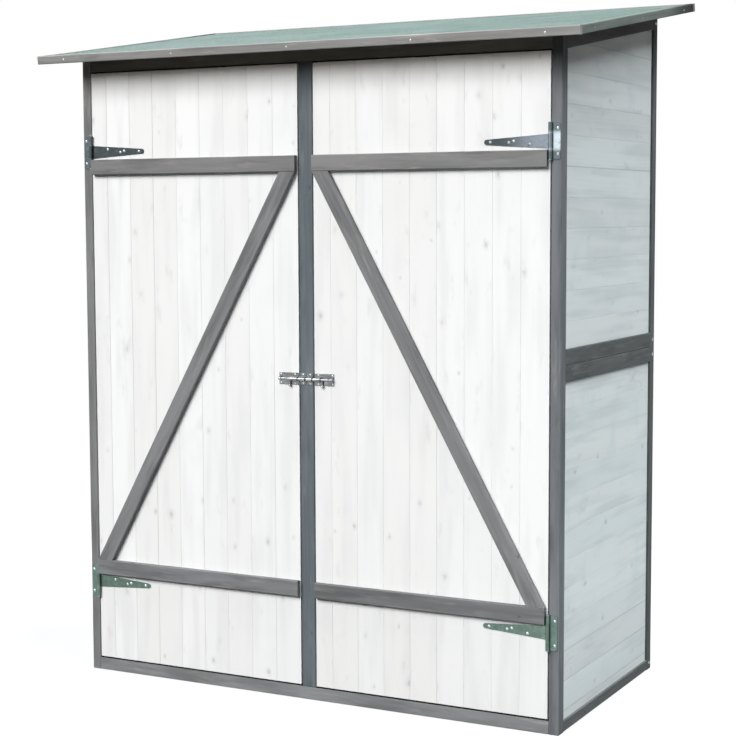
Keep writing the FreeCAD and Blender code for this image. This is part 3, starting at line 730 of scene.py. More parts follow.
def extent(node: str, direction: Number3) -> tuple[float, float]:
    """How far a node reaches along a direction.

    Args:
        node: the node's name.
        direction: a unit vector.

    Returns:
        Its lowest and highest place along the direction.
    """
    way = Vector(direction)
    places = [vertex.co.dot(way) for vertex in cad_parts[node].data.vertices]
    return min(places), max(places)


@dataclass(frozen=True)
class Crossing:
    """The space of the pieces that stand across the others in a framed panel."""

    low: Number3
    high: Number3
    mirror: Number3


@dataclass(frozen=True)
class Lie:
    """Which way the grain of a node's pieces runs, and where its boards start."""

    along: Number3
    across: Number3
    start: float
    pitch: float
    face: float
    seed: float
    crossing: Optional[Crossing] = None

    @classmethod
    def of(
        cls,
        node: str,
        along: Number3,
        across: Number3,
        boards: int = 1,
        crossing: Optional[Crossing] = None,
        pitch: float = 0.0,
    ) -> "Lie":
        """Works out the lie of a node's timber from its own size.

        Args:
            node: the node's name.
            along: the way of the grain.
            across: the way from one board to the next.
            boards: how many equal boards lie side by side.
            crossing: where the grain turns, if it does.
            pitch: the boards' own width, where they aren't cut to an equal share.

        Returns:
            The lie.
        """
        start, end = extent(node, across)
        face, _ = extent(node, tuple(Vector(along).cross(Vector(across))))
        seed = float(sum(ord(letter) * (place + 1) for place, letter in enumerate(node)) % 997)
        return cls(along, across, start, pitch or (end - start) / boards, face, seed, crossing)

    def wire(self, wiring: Wiring) -> tuple[Socket, Sockets]:
        """Puts the lie into a material.

        Args:
            wiring: the material's tree.

        Returns:
            The place on the piece, and what BoardLie gives for it.
        """
        place = turned = wiring.here()
        if self.crossing is not None:
            turned = CrossPiece.place(
                wiring,
                {
                    "Position": place,
                    "Low Corner": self.crossing.low,
                    "High Corner": self.crossing.high,
                    "Mirror": self.crossing.mirror,
                },
            )["Turned"]
        board = BoardLie.place(
            wiring,
            {
                "Position": turned,
                "Along": self.along,
                "Across": self.across,
                "Start": self.start,
                "Pitch": self.pitch,
                "Face": self.face,
                "Seed": self.seed,
            },
        )
        return place, board


# Finishes


class Surface(Wiring):
    """A material in the making: its tree, its shader and its colour so far."""

    def __init__(self, name: str, colour: Colour) -> None:
        """Starts a material.

        Args:
            name: the material's name.
            colour: what the coats go over.
        """
        self.material = bpy.data.materials.new(name)
        self.material.use_nodes = True
        super().__init__(self.material.node_tree)
        self.shader = self.tree.nodes["Principled BSDF"]
        self.colour: Feed = colour

    def coat(self, share: Feed, colour: Feed) -> None:
        """Lays a colour over what is there, by a share."""
        self.colour = self.mixed(share, self.colour, colour)

    def mark(self, pattern: Feed, depth: float, colour: Feed) -> None:
        """Lays a colour over what is there, by a pattern's own strength times a depth."""
        self.coat(self.math("MULTIPLY", pattern, depth), colour)

    def coats(self, *rows: tuple[Feed, Ramp, Feed]) -> None:
        """Lays coats one after the other, each where its pattern says.

        Args:
            rows: each coat's pattern, the share of the coat that shows for it, and its colour.
        """
        for pattern, share, colour in rows:
            self.coat(share.of(self, pattern), colour)

    def dust(self, place: Feed, amount: float, colour: Colour) -> None:
        """Lets dust settle on what faces up."""
        self.coat(SettledDust.place(self, {"Position": place, "Amount": amount})["Dust"], colour)

    def close(self, finish: "Finish", roughness: Feed, height: Feed) -> bpy.types.Material:
        """Joins the colour, the gloss and the small bumps to the shader.

        Args:
            finish: what gives the gloss and the size of the bumps.
            roughness: the surface's roughness.
            height: the bumps' height, from 0 to 1.

        Returns:
            The finished material.
        """
        bump = self.node("ShaderNodeBump")
        made = {
            "Base Color": self.colour,
            "Roughness": roughness,
            "Specular IOR Level": finish.gloss,
            "Metallic": finish.metal,
            "Normal": bump.outputs["Normal"],
        }
        for name, value in made.items():
            self.feed(self.shader.inputs[name], value)
        for name, value in (("Strength", finish.relief), ("Distance", finish.bump), ("Height", height)):
            self.feed(bump.inputs[name], value)
        return self.material


@dataclass(frozen=True)
class Fade:
    """A painted shade or reflection: a finish turning to another colour by distance from a place along an
    axis.
    """

    centre: Number3
    axis: Number3
    near: float
    far: float
    share: float = 0.85

    def lay(self, surface: Surface, place: Feed, colour: Colour) -> None:
        """Turns a surface's colour to a second one.

        Args:
            surface: the material in the making.
            place: the place on the piece.
            colour: the colour that it turns to.
        """
        offset = surface.vector("SUBTRACT", place, self.centre)
        away = surface.math("ABSOLUTE", surface.vector("DOT_PRODUCT", offset, self.axis))
        surface.coats((away, Ramp(self.near, self.far, 0.0, self.share), colour))


@dataclass(frozen=True)
class Finish:
    """What every finish has: its slot, its gloss, and the strength and height of its bumps."""

    slot: Slot
    gloss: float = 0.06
    metal: float = 0.0
    relief: float = 0.5
    bump: float = 0.0006


@dataclass(frozen=True)
class TimberFinish(Finish):
    """A finish whose wood figure follows the boards of its node."""

    ring_width: float = 0.0050
    knot_share: float = 0.3
    knot_size: float = 0.065

    def begin(self, name: str, lie: Lie, colour: Colour) -> tuple[Surface, Socket, Sockets, Sockets]:
        """Starts a material with the figure of its wood.

        Args:
            name: the material's name.
            lie: how the node's boards lie.
            colour: what the coats go over.

        Returns:
            The surface, the place on the piece, the board's sockets and the figure's sockets.
        """
        surface = Surface(name, colour)
        place, board = lie.wire(surface)
        figure = WoodFigure.place(
            surface,
            {
                "Lie": board["Lie"],
                "Ring Width": self.ring_width,
                "Knot Share": self.knot_share,
                "Knot Size": self.knot_size,
            },
        )
        return surface, place, board, figure


def toned(colour: Colour, factors: Number3, lift: float = 0.0) -> Colour:
    """A colour with each of its numbers times a factor, raised and held at 1."""
    return tuple(min(1.0, value * factor + lift) for value, factor in zip(colour, factors))


@dataclass(frozen=True)
class StainedTimber(TimberFinish):
    """Opaque grey stain on planed timber, with the grain just showing."""

    slot: Slot = Slot.GREY
    relief: float = 0.45
    ring_width: float = 0.0042
    knot_share: float = 0.2
    knot_size: float = 0.055
    colour: Colour = (0.178, 0.186, 0.192)
    darkening: Number3 = (0.62, 0.62, 0.62)
    lightening: Number3 = (1.30, 1.30, 1.30)
    thinning: Number3 = (1.9, 1.9, 1.9)
    thinning_lift: float = 0.05
    fraying: Number3 = (1.75, 1.62, 1.52)
    film: Noise = Noise((2.4, 26.0, 26.0), 3.0, 0.55)
    shade: Noise = Noise((4.5, 30.0, 30.0), 3.0, 0.6)
    scuff: Noise = Noise((10.0, 80.0, 80.0), 4.0, 0.62)
    patch: Noise = Noise((4.5, 4.5, 4.5), 2.0)
    fibre_share: Ramp = Ramp(0.3, 0.7, 0.0, 0.30)
    film_share: Ramp = Ramp(0.38, 0.62, 0.0, 0.75)
    shade_share: Ramp = Ramp(0.47, 0.7, 0.0, 0.65)
    scuff_share: Ramp = Ramp(0.52, 0.72, 0.0, 0.75)
    patchiness: Ramp = Ramp(0.4, 0.62, 0.15, 1.0)
    roughness: Ramp = Ramp(0.2, 0.8, 0.74, 0.62)
    grain_depth: float = 0.42
    knot_depth: float = 0.75
    wear: float = 0.5
    wear_radius: float = 0.0012
    dust: float = 0.35
    dust_colour: Colour = (0.42, 0.42, 0.40)
    # A near-black painted shade, laid by the fade where other parts of the cabinet would shade the piece
    painted_shade: Colour = (0.012, 0.012, 0.011)
    fade: Optional[Fade] = None

    def material(self, name: str, lie: Lie) -> bpy.types.Material:
        """Makes the finish for one node.

        Args:
            name: the node's name.
            lie: how its timber lies.

        Returns:
            The material.
        """
        surface, place, board, figure = self.begin(name + "_stain", lie, self.colour)
        dark = toned(self.colour, self.darkening)
        light = toned(self.colour, self.lightening)
        film, shade, scuff = (item.at(surface, board["Lie"]) for item in (self.film, self.shade, self.scuff))
        surface.coats((figure["Fibre"], self.fibre_share, light))
        surface.mark(figure["Rings"], self.grain_depth, dark)
        surface.coats((film, self.film_share, light), (shade, self.shade_share, dark))
        patches = self.patchiness.of(surface, self.patch.at(surface, place))
        scuffed = surface.math("MULTIPLY", self.scuff_share.of(surface, scuff), patches)
        surface.coat(scuffed, toned(self.colour, self.fraying))
        surface.mark(figure["Knot"], self.knot_depth, dark)
        wear = {"Position": place, "Radius": self.wear_radius, "Amount": self.wear}
        thin = toned(self.colour, self.thinning, self.thinning_lift)
        surface.coat(EdgeWear.place(surface, wear)["Wear"], thin)
        surface.dust(place, self.dust, self.dust_colour)
        # Painted shade: the fade turns the colour towards the near-black painted shade
        if self.fade is not None:
            self.fade.lay(surface, place, self.painted_shade)
        return surface.close(self, self.roughness.of(surface, film), figure["Height"])


@dataclass(frozen=True)
class WashedBoards(TimberFinish):
    """Thin white wash on softwood boards, with knots and grain showing through."""

    slot: Slot = Slot.WHITE
    relief: float = 0.22
    bump: float = 0.0005
    ring_width: float = 0.0062
    knot_share: float = 0.40
    knot_size: float = 0.075
    colour: Colour = (0.925, 0.924, 0.922)
    grey: Colour = (0.798, 0.796, 0.794)
    grain: Colour = (0.62, 0.62, 0.61)
    warm: Colour = (0.885, 0.878, 0.858)
    cool: Colour = (0.838, 0.844, 0.843)
    knot: Colour = (0.42, 0.41, 0.395)
    dirt: Colour = (0.24, 0.235, 0.225)
    dust_colour: Colour = (0.52, 0.51, 0.48)
    wash: Noise = Noise((3.2, 27.0, 27.0), 1.5)
    streak: Noise = Noise((4.5, 130.0, 130.0), 3.0, 0.6)
    patch: Noise = Noise((12.0, 12.0, 8.0), 3.0, 0.55)
    smudge: Noise = Noise((13.0, 32.0, 32.0), 3.0, 0.55)
    grey_board: Ramp = Ramp(0.1, 1.0, 0.0, 0.60)
    warm_board: Ramp = Ramp(0.6, 1.0, 0.0, 0.5)
    cool_board: Ramp = Ramp(0.4, 0.0, 0.0, 0.5)
    thin_wash: Ramp = Ramp(0.44, 0.68, 0.0, 0.64)
    grain_in_wash: Ramp = Ramp(0.3, 0.7, 0.2, 1.8)
    streak_share: Ramp = Ramp(0.60, 0.8, 0.0, 0.15)
    warm_patch: Ramp = Ramp(0.54, 0.74, 0.0, 0.35)
    cool_patch: Ramp = Ramp(0.46, 0.26, 0.0, 0.50)
    smudge_share: Ramp = Ramp(0.60, 0.76, 0.0, 0.30)
    roughness: Ramp = Ramp(0.3, 0.8, 0.66, 0.78)
    grain_depth: float = 0.05
    knot_depth: float = 0.52
    rim_depth: float = 0.26
    joint_depth: float = 0.32
    dust: float = 0.15

    def material(self, name: str, lie: Lie) -> bpy.types.Material:
        """Makes the finish for one node.

        Args:
            name: the node's name.
            lie: how its boards lie.

        Returns:
            The material.
        """
        surface, place, board, figure = self.begin(name + "_wash", lie, self.colour)
        tone, tint, log = board["Tone"], board["Tint"], board["Lie"]
        wash, patch = self.wash.at(surface, log), self.patch.at(surface, place)
        surface.coats(
            (tone, self.grey_board, self.grey),
            (tint, self.warm_board, self.warm),
            (tint, self.cool_board, self.cool),
            (wash, self.thin_wash, self.grey),
        )
        rings = surface.math("MULTIPLY", figure["Rings"], self.grain_in_wash.of(surface, wash))
        surface.mark(rings, self.grain_depth, self.grain)
        surface.coats(
            (self.streak.at(surface, log), self.streak_share, self.grain),
            (patch, self.warm_patch, self.warm),
            (patch, self.cool_patch, self.cool),
            (self.smudge.at(surface, log), self.smudge_share, self.grain),
        )
        surface.mark(figure["Rim"], self.rim_depth, self.grain)
        surface.mark(figure["Knot"], self.knot_depth, self.knot)
        surface.mark(board["Joint"], self.joint_depth, self.dirt)
        surface.dust(place, self.dust, self.dust_colour)
        return surface.close(self, self.roughness.of(surface, wash), figure["Height"])


@dataclass(frozen=True)
class BareFir(TimberFinish):
    """Planed fir without any finish, inside the cabinet and under the roof."""

    slot: Slot = Slot.FIR
    gloss: float = 0.3
    colour: Colour = (0.62, 0.455, 0.285)
    pale: Colour = (0.71, 0.57, 0.40)
    late: Colour = (0.43, 0.27, 0.13)
    knot: Colour = (0.20, 0.11, 0.055)
    dust_colour: Colour = (0.50, 0.46, 0.40)
    fibre_share: Ramp = Ramp(0.4, 0.7, 0.0, 0.25)
    roughness: Ramp = Ramp(0.3, 0.7, 0.62, 0.72)
    grain_depth: float = 0.62
    rim_depth: float = 0.5
    knot_depth: float = 0.8
    dust: float = 0.3

    def material(self, name: str, lie: Lie) -> bpy.types.Material:
        """Makes the finish for one node.

        Args:
            name: the node's name.
            lie: how its boards lie.

        Returns:
            The material.
        """
        surface, place, board, figure = self.begin(name + "_fir", lie, self.colour)
        surface.coat(board["Tone"], self.pale)
        surface.mark(figure["Rings"], self.grain_depth, self.late)
        surface.coats((figure["Fibre"], self.fibre_share, self.late))
        surface.mark(figure["Rim"], self.rim_depth, self.late)
        surface.mark(figure["Knot"], self.knot_depth, self.knot)
        surface.dust(place, self.dust, self.dust_colour)
        return surface.close(self, self.roughness.of(surface, figure["Fibre"]), figure["Height"])


@dataclass(frozen=True)
class GreenFelt(Finish):
    """Bitumen roofing felt with green mineral grit."""

    slot: Slot = Slot.FELT
    gloss: float = 0.2
    relief: float = 0.7
    bump: float = 0.0008
    colour: Colour = (0.088, 0.142, 0.125)
    pale: Colour = (0.24, 0.32, 0.295)
    dark: Colour = (0.045, 0.080, 0.070)
    dust_colour: Colour = (0.34, 0.36, 0.335)
    grains_to_the_metre: float = 620.0
    pale_grain: Ramp = Ramp(0.55, 0.95, 0.0, 0.75)
    dark_grain: Ramp = Ramp(0.45, 0.05, 0.0, 0.7)
    pale_cloud: Ramp = Ramp(0.4, 0.7, 0.0, 0.25)
    dark_streak: Ramp = Ramp(0.5, 0.75, 0.0, 0.2)
    roughness: Ramp = Ramp(0.0, 1.0, 0.95, 0.8)
    dust: float = 0.3

    def material(self, name: str) -> bpy.types.Material:
        """Makes the felt.

        Args:
            name: the node's name.

        Returns:
            The material.
        """
        surface = Surface(name + "_grit", self.colour)
        place = surface.here()
        values = {"Position": place, "Grains To The Metre": self.grains_to_the_metre}
        grit = MineralGrit.place(surface, values)
        surface.coats(
            (grit["Fleck"], self.pale_grain, self.pale),
            (grit["Fleck"], self.dark_grain, self.dark),
            (grit["Cloud"], self.pale_cloud, self.pale),
            (grit["Streak"], self.dark_streak, self.dark),
        )
        surface.dust(place, self.dust, self.dust_colour)
        return surface.close(self, self.roughness.of(surface, grit["Fleck"]), grit["Height"])


@dataclass(frozen=True)
class ZincPlate(Finish):
    """Zinc-plated steel, brighter or duller by piece."""

    slot: Slot = Slot.ZINC
    gloss: float = 0.5
    metal: float = 1.0
    relief: float = 0.25
    bump: float = 0.0002
    colour: Colour = (0.33, 0.375, 0.40)
    dull: Colour = (0.13, 0.155, 0.165)
    bright: Colour = (0.62, 0.66, 0.68)
    bright_cloud: Ramp = Ramp(0.5, 0.72, 0.0, 0.45)
    dull_cloud: Ramp = Ramp(0.5, 0.3, 0.0, 0.45)
    bright_line: Ramp = Ramp(0.45, 0.7, 0.0, 0.25)
    spot_depth: float = 0.4
    roughness: float = 0.34
    rougher: float = 0.12
    smoother: float = 0.06
    wear: float = 0.4
    wear_radius: float = 0.0006
    # A fade that paints a reflection on the metal, in the dull colour
    fade: Optional[Fade] = None

    def material(self, name: str) -> bpy.types.Material:
        """Makes the plating.

        Args:
            name: what the material is for.

        Returns:
            The material.
        """
        surface = Surface(name + "_zinc", self.colour)
        place = surface.here()
        skin = PlatedSkin.place(surface, {"Position": place})
        cloud = skin["Cloud"]
        surface.coats(
            (cloud, self.bright_cloud, self.bright),
            (cloud, self.dull_cloud, self.dull),
            (skin["Line"], self.bright_line, self.bright),
        )
        surface.mark(skin["Spot"], self.spot_depth, self.dull)
        # Painted reflection: the fade lays the dull colour where the metal would reflect darker surroundings
        if self.fade is not None:
            self.fade.lay(surface, place, self.dull)
        wear = {"Position": place, "Radius": self.wear_radius, "Amount": self.wear}
        surface.coat(EdgeWear.place(surface, wear)["Wear"], self.bright)
        rough = Ramp(0.3, 0.7, self.roughness + self.rougher, self.roughness - self.smoother)
        return surface.close(self, rough.of(surface, cloud), skin["Height"])


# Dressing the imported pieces

Timber = Union[StainedTimber, WashedBoards, BareFir]


class Dresser:
    """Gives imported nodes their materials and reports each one."""

    @staticmethod
    def give(node: str, material: bpy.types.Material) -> None:
        """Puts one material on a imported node.

        Args:
            node: the node's name.
            material: what it gets.
        """
        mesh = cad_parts[node].data
        if not mesh.materials:
            mesh.materials.append(material)
        for place in range(len(mesh.materials)):
            mesh.materials[place] = material
        LOG.info("%s: %s", node, material.name)

    @classmethod
    def lay(cls, finish: Timber, node: str, *ways: Number3, **more: object) -> None:
        """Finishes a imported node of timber.

        Args:
            finish: what it gets.
            node: the node's name.
            ways: along its grain and across its boards.
            more: what else Lie.of needs.
        """
        cls.give(node, finish.material(node, Lie.of(node, *ways, **more)))


@dataclass(frozen=True)
class FrontFrame(Dresser):
    """The posts and rails round the doors."""

    # The right and centre posts' fades paint the shade under the eave, darkening their tops
    right_post: StainedTimber = StainedTimber(
        colour=(0.157, 0.167, 0.178), fade=Fade(FRONT_TOP, UP, 0.150, 0.030, 0.68)
    )
    left_post: StainedTimber = StainedTimber(colour=(0.187, 0.188, 0.189))
    middle_post: StainedTimber = StainedTimber(
        colour=(0.124, 0.143, 0.158), fade=Fade(FRONT_TOP, UP, 0.150, 0.030, 0.55)
    )
    # Painted shade: the top rail's colour is set dark for the shade under the eave
    top_rail: StainedTimber = StainedTimber(colour=(0.106, 0.108, 0.098))
    # Painted shadow: the fade lays a black band along the rail's top edge, the shadow in the gap under the
    # doors
    bottom_rail: StainedTimber = StainedTimber(
        colour=(0.222, 0.230, 0.233), fade=Fade(SILL_TOP, UP, 0.0014, 0.0006, 1.0)
    )

    def dress(self) -> None:
        """Finishes the five pieces."""
        self.lay(self.right_post, "right_front_post", UP, SIDE)
        self.lay(self.left_post, "left_front_post", UP, SIDE)
        self.lay(self.middle_post, "centre_post", UP, SIDE)
        self.lay(self.top_rail, "front_top_rail", SIDE, UP)
        self.lay(self.bottom_rail, "front_bottom_rail", SIDE, UP)


@dataclass(frozen=True)
class WallPanels(Dresser):
    """The framed panels of the sides and the back, with their boards."""

    board_width: float = BOARD_WIDTH
    stile_width: float = 0.028
    muntin_width: float = 0.036
    seam_height: float = 0.786
    mid_rail_height: float = 0.035
    # Painted shade: the fade darkens the frame under the roof's overhang, and its colour is a darker, shaded
    # copy of the back frame's grey
    side_frame: StainedTimber = StainedTimber(
        colour=(0.112, 0.118, 0.119), fade=Fade(FRONT_TOP, ROOF_NORMAL, 0.24, 0.036, 0.58)
    )
    back_frame: StainedTimber = StainedTimber(colour=(0.165, 0.172, 0.178))
    boards: WashedBoards = WashedBoards(
        colour=(0.87, 0.888, 0.882),
        grey=(0.68, 0.712, 0.730),
        warm=(0.83, 0.815, 0.81),
        cool=(0.70, 0.768, 0.785),
        grain_depth=0.24,
        smudge_share=Ramp(0.60, 0.76, 0.0, 0.42),
        joint_depth=0.60,
    )

    def lay_boards(self, node: str, level: Level, along: Number3) -> None:
        """Finishes a panel's boards, the whole ones starting at the seam.

        Args:
            node: the boards' node.
            level: the panel's place.
            along: the way the boards run.
        """
        across = (0.0, 0.0, -1.0) if level is Level.LOWER else UP
        self.lay(self.boards, node, along, across, pitch=self.board_width)

    def dress_side(self, hand: Hand) -> None:
        """Finishes one side wall.

        Args:
            hand: the wall's side.
        """
        turn = tuple(Vector((0.0, 1.0, -1.0)).normalized())
        for level in Level:
            node = f"{hand.value}_{level.value}_side_frame"
            _, back = extent(node, BACK)
            crossing = Crossing((-FAR, back - self.stile_width, -FAR), (FAR, FAR, FAR), turn)
            self.lay(self.side_frame, node, BACK, UP, boards=2, crossing=crossing)
            self.lay_boards(f"{hand.value}_{level.value}_side_boards", level, BACK)

    def dress_back(self) -> None:
        """Finishes the back wall."""
        turn = tuple(Vector((1.0, 0.0, -1.0)).normalized())
        half = self.muntin_width / 2
        heights = {
            Level.LOWER: (SILL_TOP[2], self.seam_height - self.mid_rail_height),
            Level.UPPER: (self.seam_height + self.mid_rail_height, FAR),
        }
        for level, (low, high) in heights.items():
            node = f"back_{level.value}_frame"
            _, top = extent(node, UP)
            high = min(high, top - self.mid_rail_height)
            crossing = Crossing((-half, -FAR, low), (half, FAR, high), turn)
            self.lay(self.back_frame, node, SIDE, UP, boards=2, crossing=crossing)
            self.lay_boards(f"back_{level.value}_boards", level, SIDE)

    def dress(self) -> None:
        """Finishes all the wall panels."""
        for hand in Hand:
            self.dress_side(hand)
        self.dress_back()


@dataclass(frozen=True)
class Door(Dresser):
    """One ledged and braced door with its hinge straps and bolt."""

    hand: Hand
    board_width: float = BOARD_WIDTH
    brace_level_width: float = 0.041
    wash: WashedBoards = WashedBoards()
    upper_ledge: StainedTimber = StainedTimber(colour=(0.195, 0.194, 0.194))
    lower_ledge: StainedTimber = StainedTimber(colour=(0.184, 0.190, 0.194))
    brace: StainedTimber = StainedTimber(colour=(0.196, 0.197, 0.201))
    # The left door's upper strap is a dark copy of the zinc, a painted dark reflection
    upper_strap: ZincPlate = ZincPlate(
        colour=(0.050, 0.062, 0.066), dull=(0.020, 0.026, 0.028), bright=(0.17, 0.20, 0.22), wear=0.6
    )
    lower_strap: ZincPlate = ZincPlate(
        colour=(0.098, 0.148, 0.124), dull=(0.045, 0.075, 0.060), bright=(0.22, 0.30, 0.26)
    )
    bolt: ZincPlate = ZincPlate(
        colour=(0.20, 0.212, 0.21), dull=(0.05, 0.056, 0.056), bright=(0.62, 0.64, 0.65), roughness=0.2
    )

    def brace_way(self) -> tuple[Number3, Number3]:
        """The way the brace runs.

        Returns:
            The unit vectors along the brace and across its face.
        """
        low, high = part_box(f"{self.hand.value}_door_brace")
        run = high.x - low.x - self.brace_level_width
        lean = 1.0 if self.hand is Hand.LEFT else -1.0
        along = Vector((lean * run, 0.0, high.z - low.z)).normalized()
        across = Vector((along.z, 0.0, -along.x))
        return tuple(along), tuple(across)

    def dress(self) -> None:
        """Finishes the door's pieces, but not its screws."""
        hand = self.hand.value
        self.lay(self.wash, f"{hand}_door_boards", UP, (-1.0, 0.0, 0.0), pitch=self.board_width)
        self.lay(self.upper_ledge, f"{hand}_upper_ledge", SIDE, UP)
        self.lay(self.lower_ledge, f"{hand}_lower_ledge", SIDE, UP)
        self.lay(self.brace, f"{hand}_door_brace", *self.brace_way())
        self.give(f"{hand}_upper_hinge_strap", self.upper_strap.material(f"{hand}_upper_strap"))
        self.give(f"{hand}_lower_hinge_strap", self.lower_strap.material(f"{hand}_lower_strap"))
        metal = self.bolt.material(f"{hand}_bolt")
        for piece in ("plate", "rod", "keep"):
            self.give(f"{hand}_bolt_{piece}", metal)


@dataclass(frozen=True)
class RightDoor(Door):
    """The right door, whose upper strap has a painted reflection, bright at its hinge and dark at its tip.
    """

    hand: Hand = Hand.RIGHT
    wash: WashedBoards = WashedBoards(colour=(0.905, 0.903, 0.900))
    upper_ledge: StainedTimber = StainedTimber(colour=(0.206, 0.205, 0.205))
    lower_ledge: StainedTimber = StainedTimber(colour=(0.154, 0.157, 0.159))
    # Painted reflection: a bright copy of the zinc, and the fade dulls it from the hinge towards the tip
    upper_strap: ZincPlate = ZincPlate(
        colour=(0.175, 0.205, 0.235),
        dull=(0.030, 0.038, 0.036),
        bright=(0.32, 0.37, 0.42),
        fade=Fade(RIGHT_HINGE_LINE, SIDE, 0.020, 0.120),
    )
    lower_strap: ZincPlate = ZincPlate(
        colour=(0.114, 0.168, 0.142), dull=(0.050, 0.080, 0.066), bright=(0.24, 0.33, 0.28)
    )


@dataclass(frozen=True)
class PostHardware(Dresser):
    """The hinge plates on the posts, their pins, and the nails of the roof."""

    # Painted reflection: a bright copy of the zinc, whose fade leaves a bright band at the hinge's middle
    # height and dulls the ends
    right_upper_plate: ZincPlate = ZincPlate(
        colour=(0.42, 0.48, 0.51),
        dull=(0.045, 0.062, 0.070),
        bright=(0.60, 0.68, 0.72),
        fade=Fade(UPPER_HINGE, UP, 0.013, 0.024),
    )
    # Painted reflection: the left upper plate is a dark copy of the zinc
    left_upper_plate: ZincPlate = ZincPlate(
        colour=(0.085, 0.105, 0.115), dull=(0.016, 0.022, 0.026), bright=(0.30, 0.35, 0.38)
    )
    lower_plate: ZincPlate = ZincPlate(
        colour=(0.120, 0.180, 0.155), dull=(0.050, 0.080, 0.066), bright=(0.24, 0.33, 0.29)
    )
    pin: ZincPlate = ZincPlate(colour=(0.40, 0.43, 0.45))
    nail: ZincPlate = ZincPlate(colour=(0.30, 0.32, 0.325), roughness=0.4)

    def dress(self) -> None:
        """Finishes the plates, pins and nails."""
        lower = self.lower_plate.material("lower_plates")
        for hand, finish in ((Hand.RIGHT, self.right_upper_plate), (Hand.LEFT, self.left_upper_plate)):
            upper = finish.material(f"{hand.value}_upper_plate")
            self.give(f"{hand.value}_upper_hinge_plate", upper)
            self.give(f"{hand.value}_lower_hinge_plate", lower)
        self.give("hinge_pins", self.pin.material("hinge_pins"))
        self.give("roof_nails", self.nail.material("roof_nails"))


def board_count(node: str, across: Number3, width: float) -> int:
    """How many boards of about a width a node has side by side."""
    low, high = extent(node, across)
    return max(2, round((high - low) / width))


@dataclass(frozen=True)
class Roof(Dresser):
    """Boards, rafter, felt and the four edge trims."""

    pitch_degrees: float = 9.15
    board_width: float = 0.082
    front_trim: StainedTimber = StainedTimber(colour=(0.268, 0.264, 0.258), wear=0.3, dust=0.05)
    # Painted shade: the barge boards' fade darkens them towards the back
    side_trim: StainedTimber = StainedTimber(
        colour=(0.170, 0.190, 0.178), fade=Fade(ROOF_FRONT_EDGE, BACK, 0.48, 0.76)
    )
    fir: BareFir = BareFir()
    felt: GreenFelt = GreenFelt()

    def slope(self) -> Number3:
        """The unit vector up the roof from its front edge."""
        pitch = math.radians(self.pitch_degrees)
        return (0.0, math.cos(pitch), math.sin(pitch))

    def dress(self) -> None:
        """Finishes the roof."""
        slope = self.slope()
        upright = tuple(Vector(SIDE).cross(Vector(slope)))
        count = board_count("roof_boards", slope, self.board_width)
        self.lay(self.fir, "roof_boards", SIDE, slope, boards=count)
        self.lay(self.fir, "roof_rafter", slope, SIDE)
        self.give("roof_felt", self.felt.material("roof_felt"))
        for node in ("front_fascia", "back_fascia"):
            self.lay(self.front_trim, node, SIDE, upright)
        for hand in Hand:
            self.lay(self.side_trim, f"{hand.value}_barge_board", slope, upright)


@dataclass(frozen=True)
class Inside(Dresser):
    """The floor and the shelf."""

    floor_board_width: float = 0.096
    shelf_board_width: float = 0.078
    fir: BareFir = BareFir()

    def dress(self) -> None:
        """Finishes the boards and what carries them."""
        count = board_count("floor_boards", SIDE, self.floor_board_width)
        self.lay(self.fir, "floor_boards", BACK, SIDE, boards=count)
        count = board_count("shelf_boards", BACK, self.shelf_board_width)
        self.lay(self.fir, "shelf_boards", SIDE, BACK, boards=count)
        for node in ("middle_floor_bearer", "back_floor_bearer"):
            self.lay(self.fir, node, SIDE, UP)
        for node in ("right_shelf_cleat", "left_shelf_cleat", "middle_shelf_bearer"):
            self.lay(self.fir, node, BACK, UP)


def stand(name: str, data: bpy.types.ID) -> bpy.types.Object:
    """Makes an object from its data and puts it in the scene.

    Args:
        name: the object's name.
        data: its mesh, light or camera.

    Returns:
        The object.
    """
    made = bpy.data.objects.new(name, data)
    bpy.context.scene.collection.objects.link(made)
    return made


# Screws


@dataclass(frozen=True)
class ScrewPlace:
    """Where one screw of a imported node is, and how big."""

    seat: Vector
    outward: Vector
    head_radius: float
    head_height: float
    shank_radius: float
    length: float


